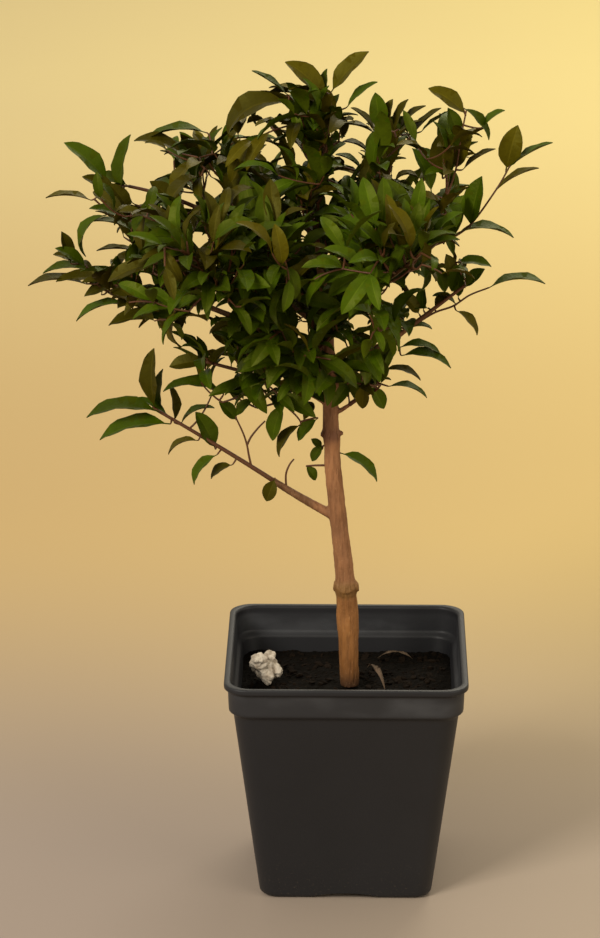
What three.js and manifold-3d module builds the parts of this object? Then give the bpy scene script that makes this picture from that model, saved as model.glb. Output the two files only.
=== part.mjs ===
// Brush cherry bonsai in a square nursery pot.
// Millimetres, +Z up. The origin is the middle of the pot's underside, and the front faces -Y.
import * as THREE from 'three';
import { mergeVertices } from 'three/addons/utils/BufferGeometryUtils.js';
import Module from 'manifold-3d';

// Pot: a thin square pot with a stepped rim band and a rounded lip
const POT_HEIGHT = 113;
const LIP_WIDTH = 114;
const LIP_HEIGHT = 3;
const LIP_ROUNDING = 0.8;
const BAND_WIDTH = 110.4;
const BAND_TAPER = 0.8;
const BAND_HEIGHT = 14.4;
const STEP_HEIGHT = 2;
const BODY_TOP_WIDTH = 105.4;
const FOOT_WIDTH = 81.4;
const FOOT_ROUNDING = 4;
const WALL = 1.5;
const FLOOR = 3;
const POT_CORNER_RADIUS = 11;
const CORNER_SEGMENTS = 3;
const DRAIN_WIDTH = 32;
const DRAIN_HEIGHT = 3;
const DRAIN_DEPTH = 9;
const DRAIN_SEGMENTS = 12;

// Potting mix, with a lump of white grit lying on it
const SOIL_LEVEL = 93;
const SOIL_FALL = 1.5;
const SOIL_FLAT = 0.85;
const SOIL_CLEARANCE = 0.4;
const GRIT_PLACE = [-38.5, 5, SOIL_LEVEL];
const GRIT_KNOBS = 5;
const GRIT_MIDDLE = 5.4;
const GRIT_KNOB = [3.4, 4.7];
const GRIT_SPREAD = 3.8;
const GRIT_TUMBLE = 12;

// Trunk: its lean, and its girth as pairs of height over the soil and radius
const SEAT_GAP = 0.3;
const TRUNK_FOOT = SOIL_LEVEL + SEAT_GAP;
const TRUNK_ROUTE = [[1.6, 0, TRUNK_FOOT], [-0.3, 0, 141], [-4.5, 0, 181], [-7.2, 0, 211], [-8.6, 0, 258]];
const TRUNK_GIRTH = [
  [0, 4.6], [14, 4.6], [36, 5.3], [45, 4.8], [49, 6.4], [52, 6.4], [56, 4.6], [72, 4.2],
  [104, 4.0], [120, 3.7], [126, 4.3], [132, 3.8], [165, 3.2],
];
const TRUNK_SIDES = 10;
const TRUNK_STEPS = 26;

// Boughs: each leaves its parent at a share of the parent's length and runs to its tip.
// A larger rise keeps it closer to its parent at first.
const BOUGH_SIDES = 6;
const BOUGH_STEPS = 5;
const BOUGH_BEND = 0.45;
const BOUGHS = [
  { name: 'top', parent: 'trunk', at: 1, tip: [-13, 2, 300], girth: [2.9, 1.9], rise: 0.9 },
  { name: 'low_left', parent: 'trunk', at: 0.515, tip: [-35, 0, 196.5], girth: [2.3, 1.4], rise: 0.42 },
  { name: 'low_right', parent: 'trunk', at: 0.825, tip: [1, -3, 235], girth: [1.5, 1.0], rise: 0.3 },
  { name: 'under_left', parent: 'trunk', at: 0.85, tip: [-20, -3, 241], girth: [1.7, 1.1], rise: 0.6 },
  { name: 'left', parent: 'trunk', at: 0.95, tip: [-68, -2, 283], girth: [2.2, 1.3], rise: 0.6 },
  { name: 'right', parent: 'trunk', at: 0.9, tip: [27, -3, 271.5], girth: [2.1, 1.2], rise: 0.6 },
  { name: 'front_low', parent: 'trunk', at: 0.92, tip: [-13, -24, 264], girth: [1.7, 1.1], rise: 0.6 },
  { name: 'back_low', parent: 'trunk', at: 0.88, tip: [-13, 24, 260], girth: [1.7, 1.1], rise: 0.6 },
  { name: 'upper_left', parent: 'top', at: 0.46, tip: [-52, 4, 316], girth: [2.0, 1.3], rise: 0.7 },
  { name: 'upper_right', parent: 'top', at: 0.55, tip: [28, 3, 313], girth: [2.0, 1.3], rise: 0.7 },
  { name: 'front_left', parent: 'top', at: 0.21, tip: [-38, -34, 298], girth: [1.8, 1.2], rise: 0.7 },
  { name: 'front_right', parent: 'top', at: 0.34, tip: [8, -36, 300], girth: [1.8, 1.2], rise: 0.7 },
  { name: 'back_left', parent: 'top', at: 0.28, tip: [-40, 36, 295], girth: [1.8, 1.2], rise: 0.7 },
  { name: 'back_right', parent: 'top', at: 0.15, tip: [10, 37, 295], girth: [1.8, 1.2], rise: 0.7 },
];

// Masses: each carries on from the bough of its name, and fills a round space. The tip is its stem's.
const MASSES = [
  { name: 'low_left', centre: [-80, 0, 224], half: [44, 26, 36], tip: [-91, 0, 232] },
  { name: 'low_right', centre: [12, -4, 246], half: [33, 32, 26], tip: [17, -5, 244] },
  { name: 'under_left', centre: [-46, -8, 248], half: [46, 36, 38], tip: [-68, -6, 257] },
  { name: 'left', centre: [-103, -4, 298], half: [47, 44, 30], tip: [-121, -2, 293] },
  { name: 'upper_left', centre: [-80, 4, 338], half: [58, 46, 34], tip: [-111, 2, 340] },
  { name: 'top', centre: [-18, 4, 355], half: [52, 48, 50], tip: [-5, 2, 380] },
  { name: 'upper_right', centre: [45, 4, 348], half: [50, 46, 38], tip: [69, 2, 353] },
  { name: 'right', centre: [34, -4, 290], half: [44, 42, 29], tip: [54, -3, 293] },
  { name: 'front_left', centre: [-58, -54, 318], half: [50, 46, 40], tip: [-74, -76, 330] },
  { name: 'front_right', centre: [17, -56, 318], half: [46, 46, 40], tip: [33, -78, 330] },
  { name: 'front_low', centre: [-16, -42, 282], half: [46, 38, 32], tip: [-18, -48, 278] },
  { name: 'back_left', centre: [-60, 54, 312], half: [50, 46, 40], tip: [-80, 76, 326] },
  { name: 'back_right', centre: [22, 56, 313], half: [50, 46, 40], tip: [40, 78, 328] },
  { name: 'back_low', centre: [-16, 42, 272], half: [46, 38, 32], tip: [-18, 48, 272] },
];

// Sprouts: short shoots straight from the trunk's side, with one pair of small leaves
const SPROUTS = [
  { name: 'right_sprout', at: 0.71, centre: [6, 0, 203], half: [15, 8, 14], tip: [1.5, 0, 211], leaf: 0.72 },
  { name: 'left_sprout', at: 0.68, centre: [-17, 0, 206], half: [10, 8, 12], tip: [-14, 0, 206], leaf: 0.3 },
];

// Twigs and leaves
const TWIG_SIDES = 3;
const TWIG_STEP = 14;
const STEM_RADIUS = [1.7, 1.3];
const STEM_BEND = 0.4;
const STEM_INTERNODE = 9;
const FIRST_NODE = 0.3;
const NODE_SWING = 0.8;
const TWIG_RADIUS = [0.75, 0.65];
const TWIG_INTERNODE = 9;
const TWIG_REACH = [6, 32];
const TWIG_SIZES = [0.8, 1];
const TWIG_BEND = 0.5;
const TWIG_SPREAD = 1.0;
const TWIG_SWING = 0.4;
const TWIG_LIFT = 0.2;
const TIP_SETBACK = 1.2;
const LEAF_LENGTH = 31;
const LEAF_WIDTH = 0.5;
const LEAF_THICKNESS = 0.7;
const LEAF_SIZES = [0.84, 1.12];
const LEAF_ROOM = 0.8;
const LEAF_SPREAD = 0.95;
const TIP_SPREAD = 0.6;
const SPREAD_SWING = 0.3;
const TURN_SWING = 0.5;
const LEAF_RISE = 0.22;
const LEAF_CURL = 0.4;
const LEAF_FOLD = 0.2;
const LEAF_WIDEST = 0.48;
const LEAF_SINK = 0.2;
const LEAF_SPACING = 0.16;
const OUTWARD_FACE = 0.8;
const CROWN_MIDDLE = [-22, 0, 280];
const BEAD_STEP = 2;
const LIMB_GAP = 0.5;
const MASS_GAP = 0.4;

// A leaf that doesn't fit is tried again shorter, or turned round its shoot
const LEAF_TRIES = [[1, 0], [1, 0.6], [1, -0.6], [0.8, 0], [0.8, 1], [0.8, -1]];
// A leaf's root, tip, two edge corners and keel, and the faces between them
const LEAF_CORNERS = [-1, 0, 0, 1, 0, 0, 0, 1, 0, 0, -1, 0, 0, 0, -1];
const LEAF_FACES = [0, 3, 2, 1, 2, 3, 0, 2, 4, 0, 4, 3, 1, 4, 2, 1, 3, 4];
// Places on a leaf, along and across it, that are tested for room
const LEAF_PROBES = [[0.3, 0], [LEAF_WIDEST, -1], [LEAF_WIDEST, 1], [0.62, 0], [0.8, 0], [1, 0]];

const UP = new THREE.Vector3(0, 0, 1);
const SIDE = new THREE.Vector3(1, 0, 0);
const crownMiddle = new THREE.Vector3(...CROWN_MIDDLE);
const wasm = await Module();
wasm.setup();

// Finishes
const BLACK_PLASTIC = new THREE.MeshStandardMaterial({ color: 0x2b2926, roughness: 0.5, metalness: 0 });
const POTTING_MIX = new THREE.MeshStandardMaterial({ color: 0x1d1610, roughness: 0.95, metalness: 0 });
const WHITE_GRIT = new THREE.MeshStandardMaterial({ color: 0xd9d3c6, roughness: 0.9, metalness: 0 });
const BARK = new THREE.MeshStandardMaterial({ color: 0x8a5a35, roughness: 0.8, metalness: 0 });
const FOLIAGE = new THREE.MeshStandardMaterial({ color: 0x24401a, roughness: 0.35, metalness: 0 });

const bonsai = new THREE.Group();

function addNode(name, geometry, material) {
  const mesh = new THREE.Mesh(geometry, material);
  mesh.name = name;
  bonsai.add(mesh);
}

// A closed geometry as a solid that can be joined and cut
function solidOf(geometry) {
  const bare = geometry.clone();
  bare.deleteAttribute('normal');
  bare.deleteAttribute('uv');
  const merged = mergeVertices(bare, 1e-5);
  const vertProperties = new Float32Array(merged.attributes.position.array);
  const triVerts = new Uint32Array(merged.index.array);
  return new wasm.Manifold(new wasm.Mesh({ numProp: 3, vertProperties, triVerts }));
}

// The largest body of a solid: loose scraps and sealed hollows are dropped
function mainBody(solid) {
  return solid.decompose().reduce((best, next) => (next.volume() > best.volume() ? next : best));
}

function geometryOf(solid) {
  const mesh = solid.getMesh();
  const geometry = new THREE.BufferGeometry();
  geometry.setAttribute('position', new THREE.BufferAttribute(new Float32Array(mesh.vertProperties), 3));
  geometry.setIndex(new THREE.BufferAttribute(new Uint32Array(mesh.triVerts), 1));
  geometry.computeVertexNormals();
  return geometry;
}

function reshape(geometry, place) {
  const positions = geometry.attributes.position;
  const vertex = new THREE.Vector3();
  for (let i = 0; i < positions.count; i += 1) {
    vertex.fromBufferAttribute(positions, i);
    place(vertex);
    positions.setXYZ(i, vertex.x, vertex.y, vertex.z);
  }
  return geometry;
}

// A number from 0 to 1 that depends only on a seed and the draw's place
function chance(seed, draw) {
  const wave = Math.sin(seed * 12.9898 + draw * 78.233) * 43758.5453;
  return wave - Math.floor(wave);
}

// A square with rounded corners, swept up through pairs of height and width
function squareLoft(profile) {
  const inner = LIP_WIDTH / 2 - POT_CORNER_RADIUS;
  const outline = new THREE.Shape();
  outline.absarc(inner, inner, POT_CORNER_RADIUS, 0, Math.PI / 2);
  outline.absarc(-inner, inner, POT_CORNER_RADIUS, Math.PI / 2, Math.PI);
  outline.absarc(-inner, -inner, POT_CORNER_RADIUS, Math.PI, Math.PI * 1.5);
  outline.absarc(inner, -inner, POT_CORNER_RADIUS, Math.PI * 1.5, Math.PI * 2);
  const steps = profile.length - 1;
  const loft = new THREE.ExtrudeGeometry(outline, {
    depth: steps, steps, bevelEnabled: false, curveSegments: CORNER_SEGMENTS,
  });
  return reshape(loft, (vertex) => {
    const [height, width] = profile[Math.round(vertex.z)];
    vertex.set(vertex.x * width / LIP_WIDTH, vertex.y * width / LIP_WIDTH, height);
  });
}

const bandFoot = POT_HEIGHT - BAND_HEIGHT;
const bodyTop = bandFoot - STEP_HEIGHT;
const lipFoot = POT_HEIGHT - LIP_HEIGHT;
const innerFootWidth = FOOT_WIDTH - 2 * WALL;
const innerTopWidth = BODY_TOP_WIDTH - 2 * WALL;
const innerBandWidth = BAND_WIDTH - 2 * WALL;

function drainHole(side) {
  const hole = new THREE.CylinderGeometry(DRAIN_WIDTH / 2, DRAIN_WIDTH / 2, DRAIN_DEPTH * 2, DRAIN_SEGMENTS);
  hole.scale(1, 1, DRAIN_HEIGHT * 2 / DRAIN_WIDTH);
  hole.translate(0, -FOOT_WIDTH / 2, 0);
  hole.rotateZ(side * Math.PI / 2);
  return solidOf(hole);
}

// Pot: the outside less the inside, with a flat arched drain at the foot of each side
function potGeometry() {
  const outside = solidOf(squareLoft([
    [0, FOOT_WIDTH - 1.3 * FOOT_ROUNDING],
    [0.3 * FOOT_ROUNDING, FOOT_WIDTH - 0.5 * FOOT_ROUNDING],
    [FOOT_ROUNDING, FOOT_WIDTH],
    [bodyTop, BODY_TOP_WIDTH],
    [bandFoot, BAND_WIDTH - BAND_TAPER],
    [lipFoot - LIP_ROUNDING, BAND_WIDTH],
    [lipFoot, LIP_WIDTH - LIP_ROUNDING],
    [lipFoot + LIP_ROUNDING, LIP_WIDTH],
    [POT_HEIGHT - LIP_ROUNDING, LIP_WIDTH],
    [POT_HEIGHT, LIP_WIDTH - 2 * LIP_ROUNDING],
  ]));
  const inside = solidOf(squareLoft([
    [FLOOR, innerFootWidth],
    [bodyTop + WALL, innerTopWidth],
    [bandFoot + WALL, innerBandWidth - BAND_TAPER],
    [POT_HEIGHT - LIP_ROUNDING, innerBandWidth],
    [POT_HEIGHT + LIP_ROUNDING, innerBandWidth + 2 * LIP_ROUNDING],
  ]));
  let pot = outside.subtract(inside);
  for (let side = 0; side < 4; side += 1) {
    pot = pot.subtract(drainHole(side));
  }
  return geometryOf(pot);
}

// Potting mix: fills the pot to its level, and falls a little towards the walls
function soilGeometry() {
  const foot = FLOOR + SOIL_CLEARANCE;
  const edge = SOIL_LEVEL - SOIL_FALL;
  const slope = (innerTopWidth - innerFootWidth) / (bodyTop + WALL - FLOOR);
  const widthAt = (height) => innerFootWidth - 2 * SOIL_CLEARANCE + slope * (height - FLOOR);
  return geometryOf(solidOf(squareLoft([
    [foot, widthAt(foot)],
    [edge, widthAt(edge)],
    [SOIL_LEVEL, widthAt(edge) * SOIL_FLAT],
  ])));
}

// White grit: knobs fused round a middle
function gritGeometry() {
  let lump = solidOf(new THREE.IcosahedronGeometry(GRIT_MIDDLE, 0));
  for (let i = 0; i < GRIT_KNOBS; i += 1) {
    const turn = i * Math.PI * 2 / GRIT_KNOBS;
    const knob = new THREE.IcosahedronGeometry(THREE.MathUtils.lerp(...GRIT_KNOB, chance(3, i)), 0);
    const height = GRIT_TUMBLE * (chance(5, i) - 0.5);
    knob.translate(Math.cos(turn) * GRIT_SPREAD, Math.sin(turn) * GRIT_SPREAD, height);
    lump = lump.add(solidOf(knob));
  }
  const [x, y, z] = GRIT_PLACE;
  return geometryOf(lump.translate([x, y, z + SEAT_GAP - lump.boundingBox().min[2]]));
}

// A closed rod of changing radius along a curve
function rod(curve, radiusAt, sides, steps) {
  const frames = curve.computeFrenetFrames(steps, false);
  const tube = new THREE.CylinderGeometry(1, 1, steps, sides, steps);
  return reshape(tube, (vertex) => {
    const step = Math.round(vertex.y + steps / 2);
    const share = step / steps;
    const radius = radiusAt(share);
    const { x, z } = vertex;
    vertex.copy(curve.getPointAt(share));
    vertex.addScaledVector(frames.normals[step], x * radius);
    vertex.addScaledVector(frames.binormals[step], -z * radius);
  });
}

function trunkRadius(height) {
  const next = TRUNK_GIRTH.findIndex(([level]) => level > height);
  if (next < 0) {
    return TRUNK_GIRTH.at(-1)[1];
  }
  const [low, high] = [TRUNK_GIRTH[next - 1], TRUNK_GIRTH[next]];
  return THREE.MathUtils.mapLinear(height, low[0], high[0], low[1], high[1]);
}

const limbs = new Map();

// The trunk's foot is cut level with the potting mix
function buildTrunk() {
  const curve = new THREE.CatmullRomCurve3(TRUNK_ROUTE.map((point) => new THREE.Vector3(...point)));
  const length = curve.getLength();
  const radiusAt = (share) => trunkRadius(share * length);
  const solidWith = (extra) => {
    const tube = rod(curve, (share) => radiusAt(share) + extra, TRUNK_SIDES, TRUNK_STEPS);
    reshape(tube, (vertex) => {
      vertex.z = vertex.z < TRUNK_FOOT + 1 ? TRUNK_FOOT : vertex.z;
    });
    return solidOf(tube);
  };
  limbs.set('trunk', { curve, radiusAt, solid: solidWith(0), sleeve: solidWith(SEAT_GAP) });
}

// A bough starts inside its parent and is cut back to 0.3 mm clear of the parent's side
function buildBough({ name, parent, at, tip, girth, rise }) {
  const from = limbs.get(parent);
  const carriesOn = at === 1;
  const along = from.curve.getTangentAt(at);
  const start = from.curve.getPointAt(at).addScaledVector(along, carriesOn ? SEAT_GAP : 0);
  const finish = new THREE.Vector3(...tip);
  const out = finish.clone().sub(start).setZ(0).normalize();
  const swept = out.multiplyScalar(1 - rise / 2).addScaledVector(along, rise).normalize();
  const heading = carriesOn ? along : swept;
  const bend = start.clone().addScaledVector(heading, start.distanceTo(finish) * BOUGH_BEND);
  const curve = new THREE.QuadraticBezierCurve3(start, bend, finish);
  const radiusAt = (share) => THREE.MathUtils.lerp(girth[0], girth[1], share);
  const solidWith = (extra) => {
    const widened = (share) => radiusAt(share) + extra;
    return solidOf(rod(curve, widened, BOUGH_SIDES, BOUGH_STEPS));
  };
  const solid = carriesOn ? solidWith(0) : mainBody(solidWith(0).subtract(from.sleeve));
  limbs.set(name, { curve, radiusAt, solid, sleeve: solidWith(SEAT_GAP) });
}

// Points down the middle of every limb, each with the limb's radius there
function limbBeads() {
  const beads = [];
  for (const { curve, radiusAt } of limbs.values()) {
    const count = Math.ceil(curve.getLength() / BEAD_STEP);
    for (let i = 0; i <= count; i += 1) {
      beads.push({ point: curve.getPointAt(i / count), radius: radiusAt(i / count) });
    }
  }
  return beads;
}

// Inside the mass's space, and clear of every limb
function isFree(growth, point, radius) {
  return point.clone().sub(growth.centre).divide(growth.half).lengthSq() < 1
    && growth.beads.every((bead) => bead.point.distanceTo(point) > bead.radius + radius + LIMB_GAP);
}

// Clear of every limb, every other stem and the masses that were grown before
function isApart(growth, piece) {
  const reach = piece.boundingBox();
  return growth.obstacles.every((solid) => {
    const { min, max } = solid.boundingBox();
    const far = [0, 1, 2].some((axis) => min[axis] > reach.max[axis] || max[axis] < reach.min[axis]);
    return far || solid.intersect(piece).isEmpty();
  });
}

// How far a ray from a point inside the mass's space runs before it leaves it
function roomAhead(growth, point, heading) {
  const from = point.clone().sub(growth.centre).divide(growth.half);
  const step = heading.clone().divide(growth.half);
  const halfway = from.dot(step) / step.lengthSq();
  const excess = (from.lengthSq() - 1) / step.lengthSq();
  return Math.sqrt(Math.max(halfway * halfway - excess, 0)) - halfway;
}

// A direction square to a shoot, turned round it from the vertical plane
function sideways(along, turn) {
  const level = along.clone().cross(Math.abs(along.z) > 0.9 ? SIDE : UP).normalize();
  const upright = along.clone().cross(level);
  return upright.multiplyScalar(Math.cos(turn)).addScaledVector(level, Math.sin(turn));
}

function lean(along, out, angle) {
  return along.clone().multiplyScalar(Math.cos(angle)).addScaledVector(out, Math.sin(angle)).normalize();
}

// Leaves turn their faces up and out of the crown
function leafFace(root, heading) {
  const face = root.clone().sub(crownMiddle).normalize().multiplyScalar(OUTWARD_FACE).add(UP);
  return face.addScaledVector(heading, -face.dot(heading)).normalize();
}

// A point of a leaf: along runs 0 to 1 from root to tip, across -1 to 1 between its edges
function leafPoint(leaf, along, across, lift) {
  const arch = leaf.length * (LEAF_RISE * along - LEAF_CURL * along * along);
  const edge = across * leaf.length * LEAF_WIDTH / 2;
  const side = leaf.face.clone().cross(leaf.heading);
  return leaf.root.clone()
    .addScaledVector(leaf.heading, along * leaf.length)
    .addScaledVector(side, edge)
    .addScaledVector(leaf.face, arch + Math.abs(edge) * LEAF_FOLD + lift);
}

// A leaf of six faces, arched over its two edge corners and keeled below, its root sunk in the twig
function leafSolid(leaf, thickness) {
  const places = [-LEAF_SINK / leaf.length, LEAF_WIDEST, 1];
  return solidOf(reshape(new THREE.PolyhedronGeometry(LEAF_CORNERS, LEAF_FACES, 1, 0), (vertex) => {
    const along = places[Math.round(vertex.x) + 1];
    vertex.copy(leafPoint(leaf, along, vertex.y, vertex.z * thickness));
  }));
}

function twigSolid(axis, radius, extra) {
  const steps = Math.max(1, Math.round(axis.getLength() / TWIG_STEP));
  const radiusAt = (share) => THREE.MathUtils.lerp(radius[0], radius[1], share) + extra;
  return solidOf(rod(axis, radiusAt, TWIG_SIDES, steps));
}

// A leaf is skipped if it would leave its space, touch a limb or another mass, or crowd its neighbours
function addLeaf(growth, root, along, turn, spread, size) {
  for (const [share, swing] of LEAF_TRIES) {
    const heading = lean(along, sideways(along, turn + swing), spread);
    const leaf = { root, heading, face: leafFace(root, heading), length: growth.leafLength * size * share };
    const probes = LEAF_PROBES.map(([place, across]) => leafPoint(leaf, place, across, 0));
    const isRoomy = probes.every((probe) => isFree(growth, probe, LEAF_THICKNESS)
      && growth.probes.every((other) => other.distanceTo(probe) > growth.leafLength * LEAF_SPACING));
    if (isRoomy && isApart(growth, leafSolid(leaf, LEAF_THICKNESS + 2 * MASS_GAP))) {
      growth.probes.push(...probes);
      growth.pieces.push(leafSolid(leaf, LEAF_THICKNESS));
      return;
    }
  }
}

// One shoot: a leaf pair at its tip, and pairs at the nodes below, each square to the next
function addLeaves(growth, axis, seed, turn, pairs) {
  const length = axis.getLength();
  for (let pair = 0; pair < pairs; pair += 1) {
    const share = 1 - (TIP_SETBACK + pair * TWIG_INTERNODE) / length;
    const point = axis.getPointAt(share);
    const along = axis.getTangentAt(share);
    for (const side of [0, 1]) {
      const draw = pair * 2 + side;
      const swing = TURN_SWING * (chance(seed, draw + 20) - 0.5);
      const spread = (pair === 0 ? TIP_SPREAD : LEAF_SPREAD) + SPREAD_SWING * (chance(seed, draw + 40) - 0.5);
      const size = THREE.MathUtils.lerp(...LEAF_SIZES, chance(seed, draw));
      addLeaf(growth, point, along, turn + pair * Math.PI / 2 + side * Math.PI + swing, spread, size);
    }
  }
}

// A side twig, or a lone leaf where there is no room for one
function addTwig(growth, root, along, turn, seed) {
  const spread = TWIG_SPREAD + TWIG_SWING * (chance(seed, 2) - 0.5);
  const out = lean(along, sideways(along, turn), spread);
  const aim = out.clone().addScaledVector(UP, TWIG_LIFT).normalize();
  const room = roomAhead(growth, root, aim) - LEAF_ROOM * growth.leafLength;
  const length = Math.min(room, TWIG_REACH[1]) * THREE.MathUtils.lerp(...TWIG_SIZES, chance(seed, 3));
  const knee = root.clone().addScaledVector(out, length * TWIG_BEND);
  const axis = new THREE.QuadraticBezierCurve3(root, knee, root.clone().addScaledVector(aim, length));
  const fits = length > TWIG_REACH[0]
    && axis.getPoints(8).slice(2).every((point) => isFree(growth, point, TWIG_RADIUS[0]))
    && isApart(growth, twigSolid(axis, TWIG_RADIUS, MASS_GAP));
  if (fits) {
    growth.pieces.push(twigSolid(axis, TWIG_RADIUS, 0));
    addLeaves(growth, axis, seed, chance(seed, 4) * Math.PI, 1 + Math.floor((length - 2) / TWIG_INTERNODE));
  } else {
    addLeaf(growth, root, along, turn, spread, 1);
  }
}

// A mass's stem carries on from its bough's tip, and a sprout's stands out from the trunk's side
function stemOf(mass) {
  const { curve, radiusAt } = limbs.get(mass.at ? 'trunk' : mass.name);
  const tip = new THREE.Vector3(...mass.tip);
  const foot = curve.getPointAt(mass.at ?? 1);
  const heading = mass.at ? tip.clone().sub(foot).setZ(0).normalize() : curve.getTangentAt(1);
  const start = foot.addScaledVector(heading, SEAT_GAP + (mass.at ? radiusAt(mass.at) : 0));
  const bend = start.clone().addScaledVector(heading, start.distanceTo(tip) * STEM_BEND);
  return new THREE.QuadraticBezierCurve3(start, bend, tip);
}

// A mass: leaves at its stem's tip, and side twigs in pairs at its nodes. A sprout has one pair of leaves.
function growMass(mass, seed, stem, beads, obstacles) {
  const growth = {
    centre: new THREE.Vector3(...mass.centre),
    half: new THREE.Vector3(...mass.half),
    leafLength: LEAF_LENGTH * (mass.leaf ?? 1),
    beads,
    obstacles,
    pieces: [twigSolid(stem, STEM_RADIUS, 0)],
    probes: [],
  };
  addLeaves(growth, stem, seed, 0, mass.at ? 1 : 2);
  const nodes = mass.at ? 0 : Math.max(2, Math.round(stem.getLength() / STEM_INTERNODE));
  for (let node = nodes - 1; node >= 0; node -= 1) {
    const share = (node + FIRST_NODE) / nodes;
    const root = stem.getPointAt(share);
    const along = stem.getTangentAt(share);
    for (const side of [0, 1]) {
      const twigSeed = seed + node * 2 + side + 1;
      const turn = node * Math.PI / 2 + side * Math.PI + NODE_SWING * (chance(twigSeed, 1) - 0.5);
      addTwig(growth, root, along, turn, twigSeed);
    }
  }
  return mainBody(wasm.Manifold.union(growth.pieces));
}

addNode('pot', potGeometry(), BLACK_PLASTIC);
addNode('soil', soilGeometry(), POTTING_MIX);
addNode('grit_lump', gritGeometry(), WHITE_GRIT);

buildTrunk();
BOUGHS.forEach(buildBough);
for (const [name, { solid }] of limbs) {
  addNode(name === 'trunk' ? name : `${name}_bough`, geometryOf(solid), BARK);
}

const beads = limbBeads();
const sleeves = [...limbs.values()].map(({ sleeve }) => sleeve);
const masses = [...MASSES, ...SPROUTS];
const stems = masses.map(stemOf);
const stemSleeves = stems.map((stem) => twigSolid(stem, STEM_RADIUS, MASS_GAP));
const grown = [];
masses.forEach((mass, index) => {
  const otherStems = stemSleeves.filter((stem, place) => place > index);
  const solid = growMass(mass, (index + 1) * 100, stems[index], beads, [...sleeves, ...otherStems, ...grown]);
  addNode(mass.at ? mass.name : `${mass.name}_foliage`, geometryOf(solid), FOLIAGE);
  grown.push(solid);
});

export default bonsai;
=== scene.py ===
# %% [markdown]
# This lesson dresses a small brush cherry tree in a square nursery pot. The imported solids already hold
# the true sizes, so they are loaded first as a fixed frame.
# Everything that follows is made in the same place and in metres, and stands in for one of those solids.

# %% Load the solids
import math
from collections import namedtuple

import bmesh
import bpy
import numpy as np
from mathutils import Matrix, Vector, noise


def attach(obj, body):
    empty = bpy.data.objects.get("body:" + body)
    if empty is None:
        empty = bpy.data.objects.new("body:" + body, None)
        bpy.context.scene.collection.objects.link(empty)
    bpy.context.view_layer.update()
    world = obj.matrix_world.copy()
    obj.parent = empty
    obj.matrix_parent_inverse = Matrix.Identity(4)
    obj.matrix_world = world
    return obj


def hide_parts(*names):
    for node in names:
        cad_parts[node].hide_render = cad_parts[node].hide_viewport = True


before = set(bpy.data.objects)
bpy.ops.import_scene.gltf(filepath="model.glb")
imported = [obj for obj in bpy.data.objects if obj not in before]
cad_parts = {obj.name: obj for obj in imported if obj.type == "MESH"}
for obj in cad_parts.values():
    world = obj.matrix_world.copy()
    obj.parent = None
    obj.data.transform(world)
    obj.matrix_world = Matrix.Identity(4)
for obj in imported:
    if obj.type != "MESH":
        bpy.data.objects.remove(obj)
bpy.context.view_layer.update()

MM = 0.001

# %% [markdown]
# The camera stands where the photographer stood: far off, a little above the tree, with a long lens.
# It could be placed by eye, but its height and distance were worked out from the square rim of the pot,
# so it is aimed with plain numbers. The sizes are millimetres, as on the drawing of the tree.

# %% Camera
CAMERA_PLACE = np.array((4.5, -1774.7, 809.4))
CAMERA_AIM = np.array((-22.18, -0.33, 202.2))
SENSOR_WIDTH = 36
PICTURE_HEIGHT = 938
FOCAL_LENGTH_IN_PIXELS = 4000

camera_data = bpy.data.cameras.new("photo_camera")
camera_data.sensor_width = SENSOR_WIDTH
camera_data.lens = FOCAL_LENGTH_IN_PIXELS * SENSOR_WIDTH / PICTURE_HEIGHT
camera = bpy.data.objects.new("photo_camera", camera_data)
bpy.context.scene.collection.objects.link(camera)
camera.location = Vector(CAMERA_PLACE) * MM
camera.rotation_euler = Vector(CAMERA_AIM - CAMERA_PLACE).to_track_quat("-Z", "Y").to_euler()
bpy.context.scene.camera = camera
print("lens:", round(camera_data.lens, 1), "mm")

# %% [markdown]
# Finishes are node trees, and long trees are hard to read when every link is written out. A small class
# wraps a socket so that Python arithmetic adds the Math nodes, and one method makes any other node.
# Whatever is the same all over a surface is set on the shader itself.

# %% Finishes as expressions
class Amount:
    """A number that changes over a surface, and takes part in sums."""

    def __init__(self, finish, socket):
        self.finish = finish
        self.socket = socket

    def sum(self, operation, first, second):
        return self.finish.node("ShaderNodeMath", {"operation": operation}, {0: first, 1: second})

    def __add__(self, other):
        return self.sum("ADD", self, other)

    def __radd__(self, other):
        return self.sum("ADD", other, self)

    def __rsub__(self, other):
        return self.sum("SUBTRACT", other, self)

    def __mul__(self, other):
        return self.sum("MULTIPLY", self, other)


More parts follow.
